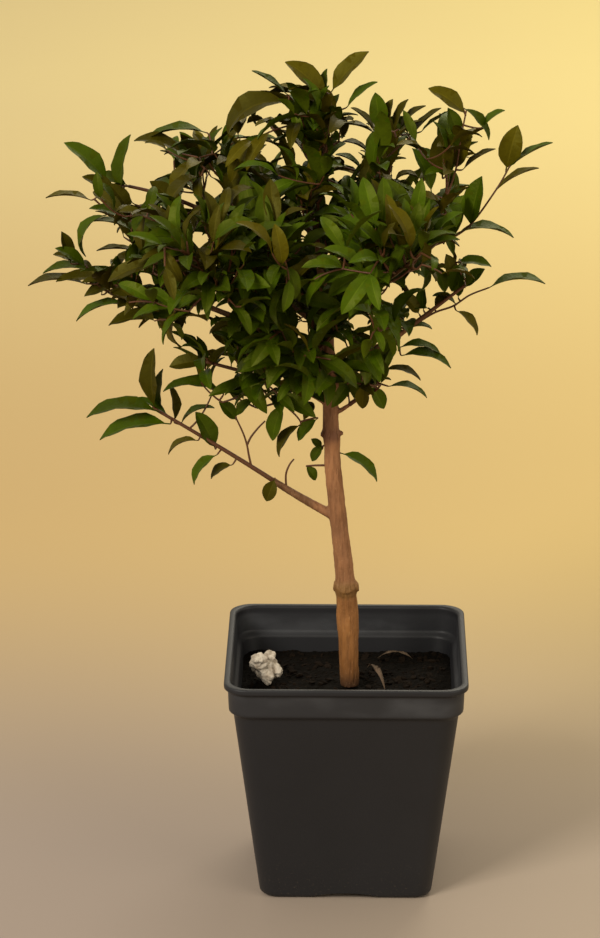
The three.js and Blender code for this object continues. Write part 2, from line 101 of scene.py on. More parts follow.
class Finish:
    """One material: a shader with its plain settings, and the nodes that feed it."""

    def __init__(self, name, settings):
        self.material = bpy.data.materials.new(name)
        self.material.use_nodes = True
        self.tree = self.material.node_tree
        self.shader = self.tree.nodes["Principled BSDF"]
        for setting, value in settings.items():
            self.shader.inputs[setting].default_value = value

    def feed(self, socket, value):
        if isinstance(value, Amount):
            self.tree.links.new(value.socket, socket)
        else:
            socket.default_value = value

    def node(self, kind, settings, inputs, output=0):
        made = self.tree.nodes.new(kind)
        for setting, value in settings.items():
            setattr(made, setting, value)
        for socket, value in inputs.items():
            self.feed(made.inputs[socket], value)
        return Amount(self, made.outputs[output])

    def place(self, stretch=(1, 1, 1)):
        """Where a point is on the object, in metres, with the pattern stretched."""
        where = self.node("ShaderNodeTexCoord", {}, {}, "Object")
        return self.node("ShaderNodeMapping", {}, {"Vector": where, "Scale": stretch})

    def mottle(self, scale, detail=3, stretch=(1, 1, 1)):
        """Soft noise: how many patches there are to a metre, how fine they are, and their stretch."""
        inputs = {"Vector": self.place(stretch), "Scale": scale, "Detail": detail}
        return self.node("ShaderNodeTexNoise", {}, inputs, "Fac")

    def along(self, axis):
        """How far a point is along X, Y or Z, in metres."""
        return self.node("ShaderNodeSeparateXYZ", {}, {0: self.place()}, axis)

    def step(self, amount, low, high):
        """Nought below low, one above high, and a smooth rise between them."""
        inputs = {"Value": amount, "From Min": low, "From Max": high}
        return self.node("ShaderNodeMapRange", {"interpolation_type": "SMOOTHSTEP"}, inputs)

    def band(self, amount, foot, top):
        """One from foot to top, each a pair of levels that the change is spread over."""
        return self.step(amount, *foot) * (1 - self.step(amount, *top))

    def blend(self, share, first, second):
        """A colour between two others."""
        made = self.tree.nodes.new("ShaderNodeMix")
        made.data_type = "RGBA"
        for socket, value in (("Factor_Float", share), ("A_Color", first), ("B_Color", second)):
            spot = next(entry for entry in made.inputs if entry.identifier == socket)
            self.feed(spot, value)
        colour = next(entry for entry in made.outputs if entry.identifier == "Result_Color")
        return Amount(self, colour)

    def bump(self, height, depth):
        inputs = {"Height": height, "Distance": depth, "Strength": 1.0}
        self.feed(self.shader.inputs["Normal"], self.node("ShaderNodeBump", {}, inputs))

    def colour(self, value):
        self.feed(self.shader.inputs["Base Color"], value)

    def roughness(self, value):
        self.feed(self.shader.inputs["Roughness"], value)


def shade(red, green, blue):
    """A colour as a screen shows it, 0 to 255, turned by the sRGB rule into light for the shader."""
    parts = [channel / 255 for channel in (red, green, blue)]
    linear = [part / 12.92 if part <= 0.04045 else ((part + 0.055) / 1.055) ** 2.4 for part in parts]
    return (*linear, 1.0)


print("a middle grey of 128 is", round(shade(128, 128, 128)[0], 3), "of the light")

# %% [markdown]
# The tree stands on a plain cream table under soft light from the left. A backdrop would block the views
# from behind, so the table is only made large enough to fill the picture. Its colour holds painted shade
# and light: darker beige in front of the pot, like a cast shadow, turning to a warmer cream far behind it,
# and lighter to the right as painted light. Big lamps give soft edges to the shadows. The one on the left
# is the strongest, as in the photograph, and one far behind lifts the light that the crown is seen against.

# %% Table and lamps
TABLE_HALF = 9.0
CROWN_AIM = (-0.02, 0, 0.24)
TABLE_AIM = (0.2, 2.0, 0)
LAMPS = [
    ("key_lamp", (-1.3, -1.5, 1.5), CROWN_AIM, 0.8, 41, (1.0, 0.95, 0.86)),
    ("fill_lamp", (1.6, -1.3, 0.9), CROWN_AIM, 1.4, 11, (1.0, 0.93, 0.8)),
    ("rim_lamp", (0.5, 1.7, 1.6), CROWN_AIM, 1.0, 12, (1.0, 0.93, 0.78)),
    ("glow_lamp", (0.3, 2.4, 1.9), TABLE_AIM, 2.0, 14, (1.0, 0.9, 0.7)),
]
# Painted shade and light: the front band is darker, like a cast shadow, and each band is lighter to the
# right.
TABLE_SHADE_AND_LIGHT_BANDS = [
    (0.15, (151, 136, 125), (170, 153, 134)),
    (0.25, (190, 161, 109), (211, 183, 117)),
    (0.6, (206, 187, 138), (236, 218, 143)),
]
NEAR_TURN = (0.0, 0.5)
FAR_TURN = (0.5, 1.7)
CLOUD_SCALE = 3.0
CLOUD_SHARE = 0.15
SKY_TINT = (1.0, 0.92, 0.76, 1)
SKY_STRENGTH = 0.58


def new_object(name, shape, *finishes):
    """A mesh or a bmesh as a piece at the origin, with its finishes."""
    if isinstance(shape, bmesh.types.BMesh):
        mesh = bpy.data.meshes.new(name)
        shape.to_mesh(mesh)
        shape.free()
    else:
        mesh = shape
    piece = bpy.data.objects.new(name, mesh)
    bpy.context.scene.collection.objects.link(piece)
    for finish in finishes:
        mesh.materials.append(finish.material)
    return piece


cream = Finish("cream_table", {"Roughness": 0.85})
cloud = cream.mottle(CLOUD_SCALE) * CLOUD_SHARE


def shade_and_light_band(reach, left, right):
    """A band of the table, lighter to the right as painted light."""
    turn = cream.step(cream.along("X"), -reach, reach) * (1 - CLOUD_SHARE) + cloud
    return cream.blend(turn, shade(*left), shade(*right))


near, middle, far = [shade_and_light_band(*band) for band in TABLE_SHADE_AND_LIGHT_BANDS]
depth = cream.along("Y")
middle = cream.blend(cream.step(depth, *NEAR_TURN), near, middle)
cream.colour(cream.blend(cream.step(depth, *FAR_TURN), middle, far))
table = bmesh.new()
bmesh.ops.create_grid(table, x_segments=2, y_segments=2, size=TABLE_HALF)
new_object("cream_table", table, cream)

for name, place, aim, size, power, tint in LAMPS:
    lamp = bpy.data.lights.new(name, "AREA")
    lamp.size = size
    lamp.energy = power
    lamp.color = tint
    stand = bpy.data.objects.new(name, lamp)
    stand.location = place
    stand.rotation_euler = (Vector(aim) - Vector(place)).to_track_quat("-Z", "Y").to_euler()
    bpy.context.scene.collection.objects.link(stand)

sky = bpy.data.worlds.new("pale_sky")
sky.use_nodes = True
background = sky.node_tree.nodes["Background"]
background.inputs["Color"].default_value = SKY_TINT
background.inputs["Strength"].default_value = SKY_STRENGTH
bpy.context.scene.world = sky
bpy.context.scene.view_settings.view_transform = "Standard"
print("lamps:", [lamp[0] for lamp in LAMPS])

# %% [markdown]
# The pot is a moulded square tub: a tapered body, a step, an upright band and a thin lip, hollow inside.
# It could be a cube with loop cuts, but every level is the same rounded square at another width.
# So one square face gets its corners bevelled and is then extruded from the foot up, over the lip and down
# the inside, and each corner of the wall's outline is softened by a short curve.

# %% Pot
POT_OUTSIDE = [
    (0, 66, 0), (0, 81.4, 3.4), (96.6, 105.4, 1.0), (98.6, 109.6, 0.7), (109.2, 110.4, 0.5),
    (110.4, 114, 0.6), (113, 114, 0.9),
]
POT_INSIDE = [
    (113, 109, 0.8), (112, 107.5, 0.5), (100.1, 106.6, 0.9), (98.1, 102.4, 0.9), (3, 78.4, 4.0), (3, 60, 0),
]
CORNER_RADIUS = 11
CORNER_SEGMENTS = 7
SOFTENING_STEPS = 4
SOFTENING_LIMIT = 0.45
POT_CREASE = 40
DRAIN_WIDTH = 32
DRAIN_HEIGHT = 3
DRAIN_DEPTH = 9
DRAIN_SEGMENTS = 32


def softened(corners):
    """Levels and half widths, with each corner replaced by a short curve of its own radius."""
    spots = [np.array((level, width / 2)) for level, width, radius in corners]
    outline = [spots[0]]
    for before, spot, after, (level, width, radius) in zip(spots, spots[1:], spots[2:], corners[1:]):
        into, out = before - spot, after - spot
        into *= min(radius / np.linalg.norm(into), SOFTENING_LIMIT)
        out *= min(radius / np.linalg.norm(out), SOFTENING_LIMIT)
        for share in np.linspace(0, 1, SOFTENING_STEPS + 1):
            outline.append(spot + into * (1 - share) ** 2 + out * share ** 2)
    return outline + [spots[-1]]


def unit(vector):
    return vector / np.linalg.norm(vector)


def pot_shell():
    outline = softened(POT_OUTSIDE + POT_INSIDE)
    shell = bmesh.new()
    level, half = outline[0]
    bmesh.ops.create_grid(shell, x_segments=1, y_segments=1, size=half * MM)
    radius = CORNER_RADIUS * MM * half * 2 / POT_OUTSIDE[-1][1]
    bmesh.ops.bevel(
        shell, geom=shell.verts[:], offset=radius, offset_type="OFFSET", segments=CORNER_SEGMENTS,
        profile=0.5, affect="VERTICES", material=-1,
    )
    face = shell.faces[:][0]
    for number, (next_level, next_half) in enumerate(outline[1:]):
        risen = bmesh.ops.extrude_face_region(shell, geom=[face])["geom"]
        if number > 0:
            bmesh.ops.delete(shell, geom=[face], context="FACES_ONLY")
        face = next(part for part in risen if isinstance(part, bmesh.types.BMFace))
        grown = next_half / half
        bmesh.ops.scale(shell, verts=face.verts, vec=(grown, grown, 1))
        bmesh.ops.translate(shell, verts=face.verts, vec=(0, 0, (next_level - level) * MM))
        level, half = next_level, next_half
    bmesh.ops.recalc_face_normals(shell, faces=shell.faces[:])
    return shell


def finished(piece):
    """The mesh of a piece once its modifiers have done their work."""
    graph = bpy.context.evaluated_depsgraph_get()
    mesh = bpy.data.meshes.new_from_object(piece.evaluated_get(graph))
    old = piece.data
    bpy.data.objects.remove(piece)
    if old.users == 0 and isinstance(old, bpy.types.Mesh):
        bpy.data.meshes.remove(old)
    return mesh


def drain_cutter():
    """Four flat arches, one at the foot of each side."""
    cutter = bmesh.new()
    out = POT_OUTSIDE[1][1] / 2 * MM
    for side in range(4):
        turn = Matrix.Rotation(side * math.pi / 2, 4, "Z")
        place = turn @ Matrix.Translation((0, -out, 0)) @ Matrix.Rotation(math.pi / 2, 4, "X")
        flat = Matrix.Diagonal((DRAIN_WIDTH / 2 * MM, DRAIN_HEIGHT * MM, DRAIN_DEPTH * 2 * MM, 1))
        bmesh.ops.create_cone(
            cutter, cap_ends=True, segments=DRAIN_SEGMENTS, radius1=1, radius2=1, depth=1,
            matrix=place @ flat,
        )
    return cutter


rough_pot = new_object("rough_pot", pot_shell())
cutter = new_object("drain_cutter", drain_cutter())
cut = rough_pot.modifiers.new("drains", "BOOLEAN")
cut.operation = "DIFFERENCE"
cut.solver = "EXACT"
cut.object = cutter
pot_mesh = finished(rough_pot)
bpy.data.objects.remove(cutter)
pot_mesh.shade_smooth()
pot_mesh.set_sharp_from_angle(angle=math.radians(POT_CREASE))
print("pot:", len(pot_mesh.polygons), "faces")

# %% [markdown]
# The pot is satin charcoal plastic, worn by handling, with a little dust near the foot and a fine moulded
# grain. The band carries painted sheen: it is lightened all over, as though it caught more light, and its
# soft grey patches are partly scuffs and partly painted sheen. A plain black would look like a hole, so the
# colour wanders between two charcoals and the gloss changes with it.

# %% Pot finish
BAND_FOOT = (0.097, 0.101)
BAND_TOP = (0.108, 0.1105)
BAND_SHEEN = 0.05
SCUFF_SHARE = 0.14
DUST_HEIGHTS = (0.0, 0.03)
DUST_SHARE = 0.2
DARK_PLASTIC = shade(27, 27, 29)
PALE_PLASTIC = shade(38, 38, 41)
SCUFF_AND_SHEEN_GREY = shade(122, 124, 128)
DUST_BROWN = shade(118, 104, 84)
MOULD_GRAIN = 0.0001

charcoal = Finish("charcoal_plastic", {"Specular IOR Level": 0.32})
high = charcoal.along("Z")
on_band = charcoal.band(high, BAND_FOOT, BAND_TOP)
wander = charcoal.mottle(16, 3)
rubbed = charcoal.step(charcoal.mottle(26, 4, (1, 1, 2)), 0.45, 0.75)
# Painted sheen: the whole band is lightened a little, and the grey patches on it are partly scuffs and partly
# sheen.
scuffs_and_sheen = (BAND_SHEEN + rubbed * SCUFF_SHARE) * on_band
specks = charcoal.step(charcoal.mottle(900, 3), 0.58, 0.8)
dust = specks * (1 - charcoal.step(high, *DUST_HEIGHTS)) * DUST_SHARE
plastic = charcoal.blend(wander, DARK_PLASTIC, PALE_PLASTIC)
plastic = charcoal.blend(scuffs_and_sheen, plastic, SCUFF_AND_SHEEN_GREY)
charcoal.colour(charcoal.blend(dust, plastic, DUST_BROWN))
charcoal.roughness(0.4 + wander * 0.14 + scuffs_and_sheen * 0.3 + dust * 0.5)
charcoal.bump(charcoal.mottle(1500, 2) * 0.5 + charcoal.mottle(90, 2) * 0.6, MOULD_GRAIN)

pot = new_object("square_pot", pot_mesh, charcoal)
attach(pot, "root")
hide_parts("pot")

# %% [markdown]
# The mix in the pot is dark, crumbly bark and peat, a little lower at the wall than round the trunk.
# A flat plate would give that away at once, so a fine grid is pushed about by two sizes of noise,
# its corners are drawn in to follow the pot, and loose crumbs and chips are strewn over it. Its dark brown
# is darkened further still as painted shade inside the pot.

# %% Potting mix
SOIL_LEVEL = 93
SOIL_FALL = 1.5
SOIL_MARGIN = 0.15
SOIL_SETTLING = 0.8
SOIL_WIDTH = 100.3
SOIL_TAPER = 0.965
SOIL_CORNER = 10.5
SOIL_DEPTH = 14
SOIL_CELLS = 110
CLOD_SIZE = 7.0
CLOD_HEIGHT = 2.0
CLOD_SLICE = 3.0
CRUMB_SIZE = 1.7
CRUMB_HEIGHT = 1.3
CRUMB_SLICE = 9.0
CRUMB_BUMP = 0.0006
FIBRE_SHARE = 0.7
# Painted shade: the peat colours are darkened further for the shade inside the pot.
SHADED_DARK_PEAT = shade(5, 4, 2)
SHADED_PALE_PEAT = shade(18, 13, 7)
BARK_FIBRE = shade(31, 22, 12)


def soil_height(x, y):
    """Level of the mix in millimetres at a place in the pot."""
    edge = max(abs(x), abs(y)) / (SOIL_WIDTH / 2)
    clods = noise.noise(Vector((x, y, CLOD_SLICE)) / CLOD_SIZE)
    crumbs = noise.noise(Vector((x, y, CRUMB_SLICE)) / CRUMB_SIZE)
    level = SOIL_LEVEL - SOIL_FALL * max(edge - (1 - SOIL_MARGIN), 0) / SOIL_MARGIN
    return level - SOIL_SETTLING + clods * CLOD_HEIGHT / 2 + crumbs * CRUMB_HEIGHT / 2


def soil_block():
    block = bmesh.new()
    bmesh.ops.create_grid(block, x_segments=SOIL_CELLS, y_segments=SOIL_CELLS, size=SOIL_WIDTH / 2)
    inner = SOIL_WIDTH / 2 - SOIL_CORNER
    for vert in block.verts:
        corner = Vector((max(abs(vert.co.x) - inner, 0), max(abs(vert.co.y) - inner, 0), 0))
        if corner.length > 0:
            drawn_in = corner * (max(corner.x, corner.y) / corner.length)
            vert.co.x = math.copysign(min(abs(vert.co.x), inner) + drawn_in.x, vert.co.x)
            vert.co.y = math.copysign(min(abs(vert.co.y), inner) + drawn_in.y, vert.co.y)
        vert.co.z = soil_height(vert.co.x, vert.co.y)
    sides = bmesh.ops.extrude_face_region(block, geom=block.faces[:])["geom"]
    for part in sides:
        if isinstance(part, bmesh.types.BMVert):
            part.co = Vector((part.co.x * SOIL_TAPER, part.co.y * SOIL_TAPER, SOIL_LEVEL - SOIL_DEPTH))
    bmesh.ops.recalc_face_normals(block, faces=block.faces[:])
    bmesh.ops.scale(block, verts=block.verts[:], vec=(MM, MM, MM))
    return block


mix = Finish("potting_mix", {"Roughness": 0.95, "Specular IOR Level": 0.08})
crumb = mix.mottle(420, 5)
fibre = mix.step(mix.mottle(240, 4, (1, 3, 1)), 0.55, 0.75) * FIBRE_SHARE
earth = mix.blend(crumb, SHADED_DARK_PEAT, SHADED_PALE_PEAT)
mix.colour(mix.blend(fibre, earth, BARK_FIBRE))
mix.bump(crumb, CRUMB_BUMP)
soil = new_object("potting_mix", soil_block(), mix)
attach(soil, "root")
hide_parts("soil")
print("potting mix:", len(soil.data.polygons), "faces")

# %% [markdown]
# Loose chips of bark lie on the mix. Each is the same twenty-sided pebble, flattened, turned and sized by
# a seeded draw, and all of them are joined into one mesh from arrays, because hundreds of separate objects
# would be slow and instances don't survive the export.

# %% Loose chips
CHIP_COUNT = 620
CHIP_SIZES = (0.5, 1.9)
CHIP_FLATNESS = (0.35, 0.8)
CHIP_LEAST = 0.8
CHIP_UNEVENNESS = 0.4
CHIP_TILT = 1.2
CHIP_LIFT = 0.15
CHIP_CREASE = 35
CHIP_BUMP = 0.0003
CHIP_REACH = 47.0
TRUNK_ROOM = 6.5
# Painted shade: the chips are darkened further, with the mix, for the shade inside the pot.
DARK_CHIP = shade(8, 6, 4)
PALE_CHIP = shade(34, 24, 14)
SEED_PACE = 12.9898
DRAW_PACE = 78.233
WAVE_HEIGHT = 43758.5453


def chance(seed, draw):
    """A repeatable number from 0 to 1, by the rule that the solids use."""
    wave = math.sin(seed * SEED_PACE + draw * DRAW_PACE) * WAVE_HEIGHT
    return wave - math.floor(wave)


def between(pair, share):
    return pair[0] + (pair[1] - pair[0]) * share


def shape_arrays(shape):
    """The vertices and faces of a bmesh, as lists that can be repeated."""
    shape.verts.index_update()
    points = np.array([vert.co[:] for vert in shape.verts])
    faces = [[vert.index for vert in face.verts] for face in shape.faces]
    shape.free()
    return points, faces


class Joined:
    """Many small shapes gathered into one mesh, in millimetres."""

    def __init__(self):
        self.points = []
        self.faces = []
        self.kinds = []
        self.count = 0

    def add(self, points, faces, kinds=None):
        self.points.append(points)
        self.faces += [[corner + self.count for corner in face] for face in faces]
        self.kinds += kinds or [0] * len(faces)
        self.count += len(points)

    def mesh(self, name):
        made = bpy.data.meshes.new(name)
        made.from_pydata(np.vstack(self.points) * MM, [], self.faces)
        made.polygons.foreach_set("material_index", self.kinds)
        made.shade_smooth()
        return made


def strewn_chips():
    pebble = bmesh.new()
    bmesh.ops.create_icosphere(pebble, subdivisions=1, radius=1)
    points, faces = shape_arrays(pebble)
    chips = Joined()
    for chip in range(CHIP_COUNT):
        x, y = ((chance(chip, draw) * 2 - 1) * CHIP_REACH for draw in (1, 2))
        if math.hypot(x, y) < TRUNK_ROOM:
            continue
        size = between(CHIP_SIZES, chance(chip, 3) ** 3)
        stretch = (size * (1 + chance(chip, 4)), size, size * between(CHIP_FLATNESS, chance(chip, 5)))
        swell = np.array([[chance(chip, 10 + corner)] for corner in range(len(points))])
        uneven = points * (CHIP_LEAST + CHIP_UNEVENNESS * swell)
        tilt = Matrix.Rotation((chance(chip, 6) - 0.5) * CHIP_TILT, 3, "Y")
        turn = np.array(Matrix.Rotation(chance(chip, 7) * math.tau, 3, "Z") @ tilt)
        chips.add((uneven * stretch) @ turn.T + (x, y, soil_height(x, y) + size * CHIP_LIFT), faces)
    return chips.mesh("bark_chips")


chip_finish = Finish("bark_chips", {"Roughness": 0.9, "Specular IOR Level": 0.08})
chip_tone = chip_finish.mottle(160, 2)
chip_finish.colour(chip_finish.blend(chip_tone, DARK_CHIP, PALE_CHIP))
chip_finish.bump(chip_finish.mottle(900, 3), CHIP_BUMP)
chips = new_object("bark_chips", strewn_chips(), chip_finish)
chips.data.set_sharp_from_angle(angle=math.radians(CHIP_CREASE))
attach(chips, "root")
print("chips:", len(chips.data.polygons), "faces")

# %% [markdown]
# A white lump of mineral grit lies on the mix, like a few grains of popcorn stuck together. Its knobs stand
# where the solid's do. They are swollen by noise, fused by a voxel remesh, which closes the creases between
# them, and left rough.

# %% White grit
GRIT_PLACE = np.array((-38.5, 5, 93))
GRIT_SUNK = 0.6
GRIT_MIDDLE = 4.9
GRIT_KNOBS = 5
GRIT_KNOB = (3.0, 4.4)
GRIT_SPREAD = 3.9
GRIT_TUMBLE = 12
TUMBLE_SEED = 5
KNOB_SEED = 3
GRIT_DETAIL = 4
GRIT_VOXEL = 0.3
GRIT_GRAIN = 2.6
FINE_GRAIN = 2.3
FINE_GRAIN_SHARE = 0.5
GRIT_ROUGHNESS = 1.5
GRIT_BUMP = 0.0005
GRIME_SHARE = 0.7
CLEAN_GRIT = shade(206, 194, 176)
GRIMY_GRIT = shade(132, 112, 90)


def fused(piece, voxel):
    """The mesh of a piece once a voxel remesh has joined its parts."""
    fuse = piece.modifiers.new("fuse", "REMESH")
    fuse.mode = "VOXEL"
    fuse.voxel_size = voxel * MM
    return finished(piece)


def grit_lump():
    lump = bmesh.new()
    spots = [(np.zeros(3), GRIT_MIDDLE)]
    for knob in range(GRIT_KNOBS):
        turn = knob * math.tau / GRIT_KNOBS
        tumble = GRIT_TUMBLE * (chance(TUMBLE_SEED, knob) - 0.5)
        out = np.array((math.cos(turn) * GRIT_SPREAD, math.sin(turn) * GRIT_SPREAD, tumble))
        spots.append((out, between(GRIT_KNOB, chance(KNOB_SEED, knob))))
    for spot, radius in spots:
        place = Matrix.Translation(Vector(spot))
        ball = bmesh.ops.create_icosphere(lump, subdivisions=GRIT_DETAIL, radius=radius, matrix=place)
        for vert in ball["verts"]:
            out = (vert.co - place.translation).normalized()
            fine = noise.noise(vert.co / GRIT_GRAIN * FINE_GRAIN)
            swell = noise.noise(vert.co / GRIT_GRAIN) + FINE_GRAIN_SHARE * fine
            vert.co += out * swell * GRIT_ROUGHNESS
    lowest = min(vert.co.z for vert in lump.verts)
    rest = Vector(GRIT_PLACE) - Vector((0, 0, lowest + GRIT_SUNK))
    bmesh.ops.translate(lump, verts=lump.verts[:], vec=rest)
    bmesh.ops.scale(lump, verts=lump.verts[:], vec=(MM, MM, MM))
    return lump


grit_finish = Finish("white_grit", {"Roughness": 0.92, "Specular IOR Level": 0.3})
grime = grit_finish.step(grit_finish.mottle(260, 4), 0.42, 0.72) * GRIME_SHARE
grit_finish.colour(grit_finish.blend(grime, CLEAN_GRIT, GRIMY_GRIT))
grit_finish.bump(grit_finish.mottle(1500, 4), GRIT_BUMP)
grit_mesh = fused(new_object("rough_grit", grit_lump()), GRIT_VOXEL)
grit_mesh.shade_smooth()
grit = new_object("white_grit", grit_mesh, grit_finish)
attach(grit, "root")
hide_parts("grit_lump")
print("grit:", len(grit.data.polygons), "faces")

# %% [markdown]
# The wood follows the same routes as the solids: a trunk on a smooth curve through measured points, and
# boughs that leave it in the direction they will take and bend towards their tips. A route keeps its
# points and the distance along them, so that a place on it can be asked for by its share of the length.

# %% Routes of the trunk and boughs
TRUNK_ROUTE = [(1.6, 0, 93.3), (-0.3, 0, 141), (-4.5, 0, 181), (-7.2, 0, 211), (-8.6, 0, 258)]
TRUNK_GIRTH = [
    (0, 4.8), (14, 4.7), (36, 5.4), (46, 4.8), (48.5, 5.7), (51.5, 5.6), (54, 4.7), (72, 4.3),
    (104, 4.1), (120, 3.8), (126, 4.3), (132, 3.9), (165, 3.2),
]
BOUGHS = [
    ("top", "trunk", 1, (-13, 2, 300), (2.9, 1.9), 0.9),
    ("low_left", "trunk", 0.515, (-35, 0, 196.5), (2.5, 1.6), 0.42),
    ("low_right", "trunk", 0.825, (1, -3, 235), (1.5, 1.0), 0.3),
    ("under_left", "trunk", 0.85, (-20, -3, 241), (1.7, 1.1), 0.6),
    ("left", "trunk", 0.95, (-68, -2, 283), (2.2, 1.3), 0.6),
    ("right", "trunk", 0.9, (27, -3, 271.5), (2.1, 1.2), 0.6),
    ("front_low", "trunk", 0.92, (-13, -24, 264), (1.7, 1.1), 0.6),
    ("back_low", "trunk", 0.88, (-13, 24, 260), (1.7, 1.1), 0.6),
    ("upper_left", "top", 0.46, (-52, 4, 316), (2.0, 1.3), 0.7),
    ("upper_right", "top", 0.55, (28, 3, 313), (2.0, 1.3), 0.7),
    ("front_left", "top", 0.21, (-38, -34, 298), (1.8, 1.2), 0.7),
    ("front_right", "top", 0.34, (8, -36, 300), (1.8, 1.2), 0.7),
    ("back_left", "top", 0.28, (-40, 36, 295), (1.8, 1.2), 0.7),
    ("back_right", "top", 0.15, (10, 37, 295), (1.8, 1.2), 0.7),
]
BOUGH_BEND = 0.45
BOUGH_STEPS = 24
STEPS_PER_SPAN = 16
HEADING_STEP = 0.02
Limb = namedtuple("Limb", "route girth")


class Route:
    """A curve as points, asked by the share of its length."""

    def __init__(self, points):
        self.points = np.array(points, float)
        steps = np.linalg.norm(np.diff(self.points, axis=0), axis=1)
        self.marks = np.concatenate([[0], np.cumsum(steps)])
        self.length = self.marks[-1]

    def at(self, share):
        return np.array([np.interp(share * self.length, self.marks, row) for row in self.points.T])

    def upto(self, share):
        """The first part of the curve."""
        return Route([self.at(part * share) for part in np.linspace(0, 1, len(self.points))])

    def heading(self, share):
        return unit(self.at(min(share + HEADING_STEP, 1)) - self.at(max(share - HEADING_STEP, 0)))


def bent(start, bend, finish, count=BOUGH_STEPS):
    """A curve with one bend."""
    share = np.linspace(0, 1, count)[:, None]
    return Route((1 - share) ** 2 * start + 2 * share * (1 - share) * bend + share ** 2 * finish)


def smooth_route(keys):
    """A curve through every key point."""
    keys = np.array(keys, float)
    keys = np.vstack([2 * keys[0] - keys[1], keys, 2 * keys[-1] - keys[-2]])
    points = []
    for before, start, finish, after in zip(keys, keys[1:], keys[2:], keys[3:]):
        for share in np.linspace(0, 1, STEPS_PER_SPAN, endpoint=False):
            curve = 2 * before - 5 * start + 4 * finish - after
            twist = 3 * start - before - 3 * finish + after
            points.append(start + ((finish - before) * share + curve * share ** 2 + twist * share ** 3) / 2)
    return Route(points + [keys[-2]])


trunk = smooth_route(TRUNK_ROUTE)
limbs = {"trunk": Limb(trunk, [(level / trunk.length, radius) for level, radius in TRUNK_GIRTH])}
for name, parent, at, tip, (thick, thin), rise in BOUGHS:
    route = limbs[parent].route
    start, along, finish = route.at(at), route.heading(at), np.array(tip, float)
    out = (finish - start) * (1, 1, 0)
    heading = along if at == 1 else unit(unit(out) * (1 - rise / 2) + along * rise)
    bend = start + heading * np.linalg.norm(finish - start) * BOUGH_BEND
    limbs[name] = Limb(bent(start, bend, finish), [(0, thick), (1, thin)])
print("limbs:", len(limbs), "trunk length:", round(trunk.length), "mm")

# %% [markdown]
# Leaves and twigs grow from stems that carry on from the tips of the boughs. The rule is the one that grew
# the solids, carried one step finer: nodes every nine millimetres, leaves in pairs that turn a quarter at
# each node, and side twigs that carry twigs of their own. Each mass keeps to its own egg-shaped space.

# %% Spaces of the foliage
MASSES = [
    ("low_left", (-80, 0, 224), (44, 26, 36), (-91, 0, 232)),
    ("low_right", (12, -4, 246), (33, 32, 26), (17, -5, 244)),
    ("under_left", (-46, -8, 248), (46, 36, 38), (-68, -6, 257)),
    ("left", (-103, -4, 298), (47, 44, 30), (-121, -2, 293)),
    ("upper_left", (-80, 4, 338), (58, 46, 34), (-111, 2, 340)),
    ("top", (-18, 4, 355), (52, 48, 50), (-5, 2, 380)),
    ("upper_right", (45, 4, 348), (50, 46, 38), (69, 2, 353)),
    ("right", (34, -4, 290), (44, 42, 29), (54, -3, 293)),
    ("front_left", (-58, -54, 318), (50, 46, 40), (-74, -76, 330)),
    ("front_right", (17, -56, 318), (46, 46, 40), (33, -78, 330)),
    ("front_low", (-16, -42, 282), (46, 38, 32), (-18, -48, 278)),
    ("back_left", (-60, 54, 312), (50, 46, 40), (-80, 76, 326)),
    ("back_right", (22, 56, 313), (50, 46, 40), (40, 78, 328)),
    ("back_low", (-16, 42, 272), (46, 38, 32), (-18, 48, 272)),
]
STEM_BEND = 0.4
STEM_RADIUS = (1.2, 0.75)
STEM_INTERNODE = 9
FIRST_NODE = 0.3
NODE_SWING = 0.8
TWIG_RADIUS = (0.75, 0.45)
TWIG_REACH = (6, 36)
FINE_RADIUS = (0.5, 0.35)
FINE_REACH = (5, 16)
TWIG_INTERNODE = 9
TWIG_SIZES = (0.8, 1)
TWIG_BEND = 0.5
TWIG_SPREAD = 1.0
TWIG_SWING = 0.4
TWIG_LIFT = (0.3, 1.1)
LIFT_HEIGHTS = (240, 340)
TWIG_STEPS = 9
TWIG_BASE = 2
TIP_SETBACK = 1.2
TIP_ROOM = 2
BEAD_STEP = 2
LIMB_GAP = 0.5
LEAF_CLEARANCE = 1
UP = np.array((0.0, 0.0, 1.0))
SIDE = np.array((1.0, 0.0, 0.0))
Twig = namedtuple("Twig", "route radius")


def limb_bar(limb):
    """Points strung along a limb, and its radius at each. They also keep leaves out of the wood."""
    shares = np.linspace(0, 1, math.ceil(limb.route.length / BEAD_STEP) + 1)
    return np.array([limb.route.at(share) for share in shares]), np.interp(shares, *zip(*limb.girth))


beads = np.vstack([np.column_stack(limb_bar(limb)) for limb in limbs.values()])
stems = {}
for name, centre, half, tip in MASSES:
    bough = limbs[name].route
    start, finish = bough.at(1), np.array(tip, float)
    bend = start + bough.heading(1) * np.linalg.norm(finish - start) * STEM_BEND
    stems[name] = bent(start, bend, finish)
print("stems:", len(stems), "beads:", len(beads))

# %% [markdown]
# The photograph shows how far the dense part of the crown reaches and where the sky shows through it.
# Its outline and a few gaps were measured in the plane through the trunk, across and up. A leaf is only
# kept if the camera sees it inside the outline, but for its tip, and leaves and twigs keep clear of the gaps.

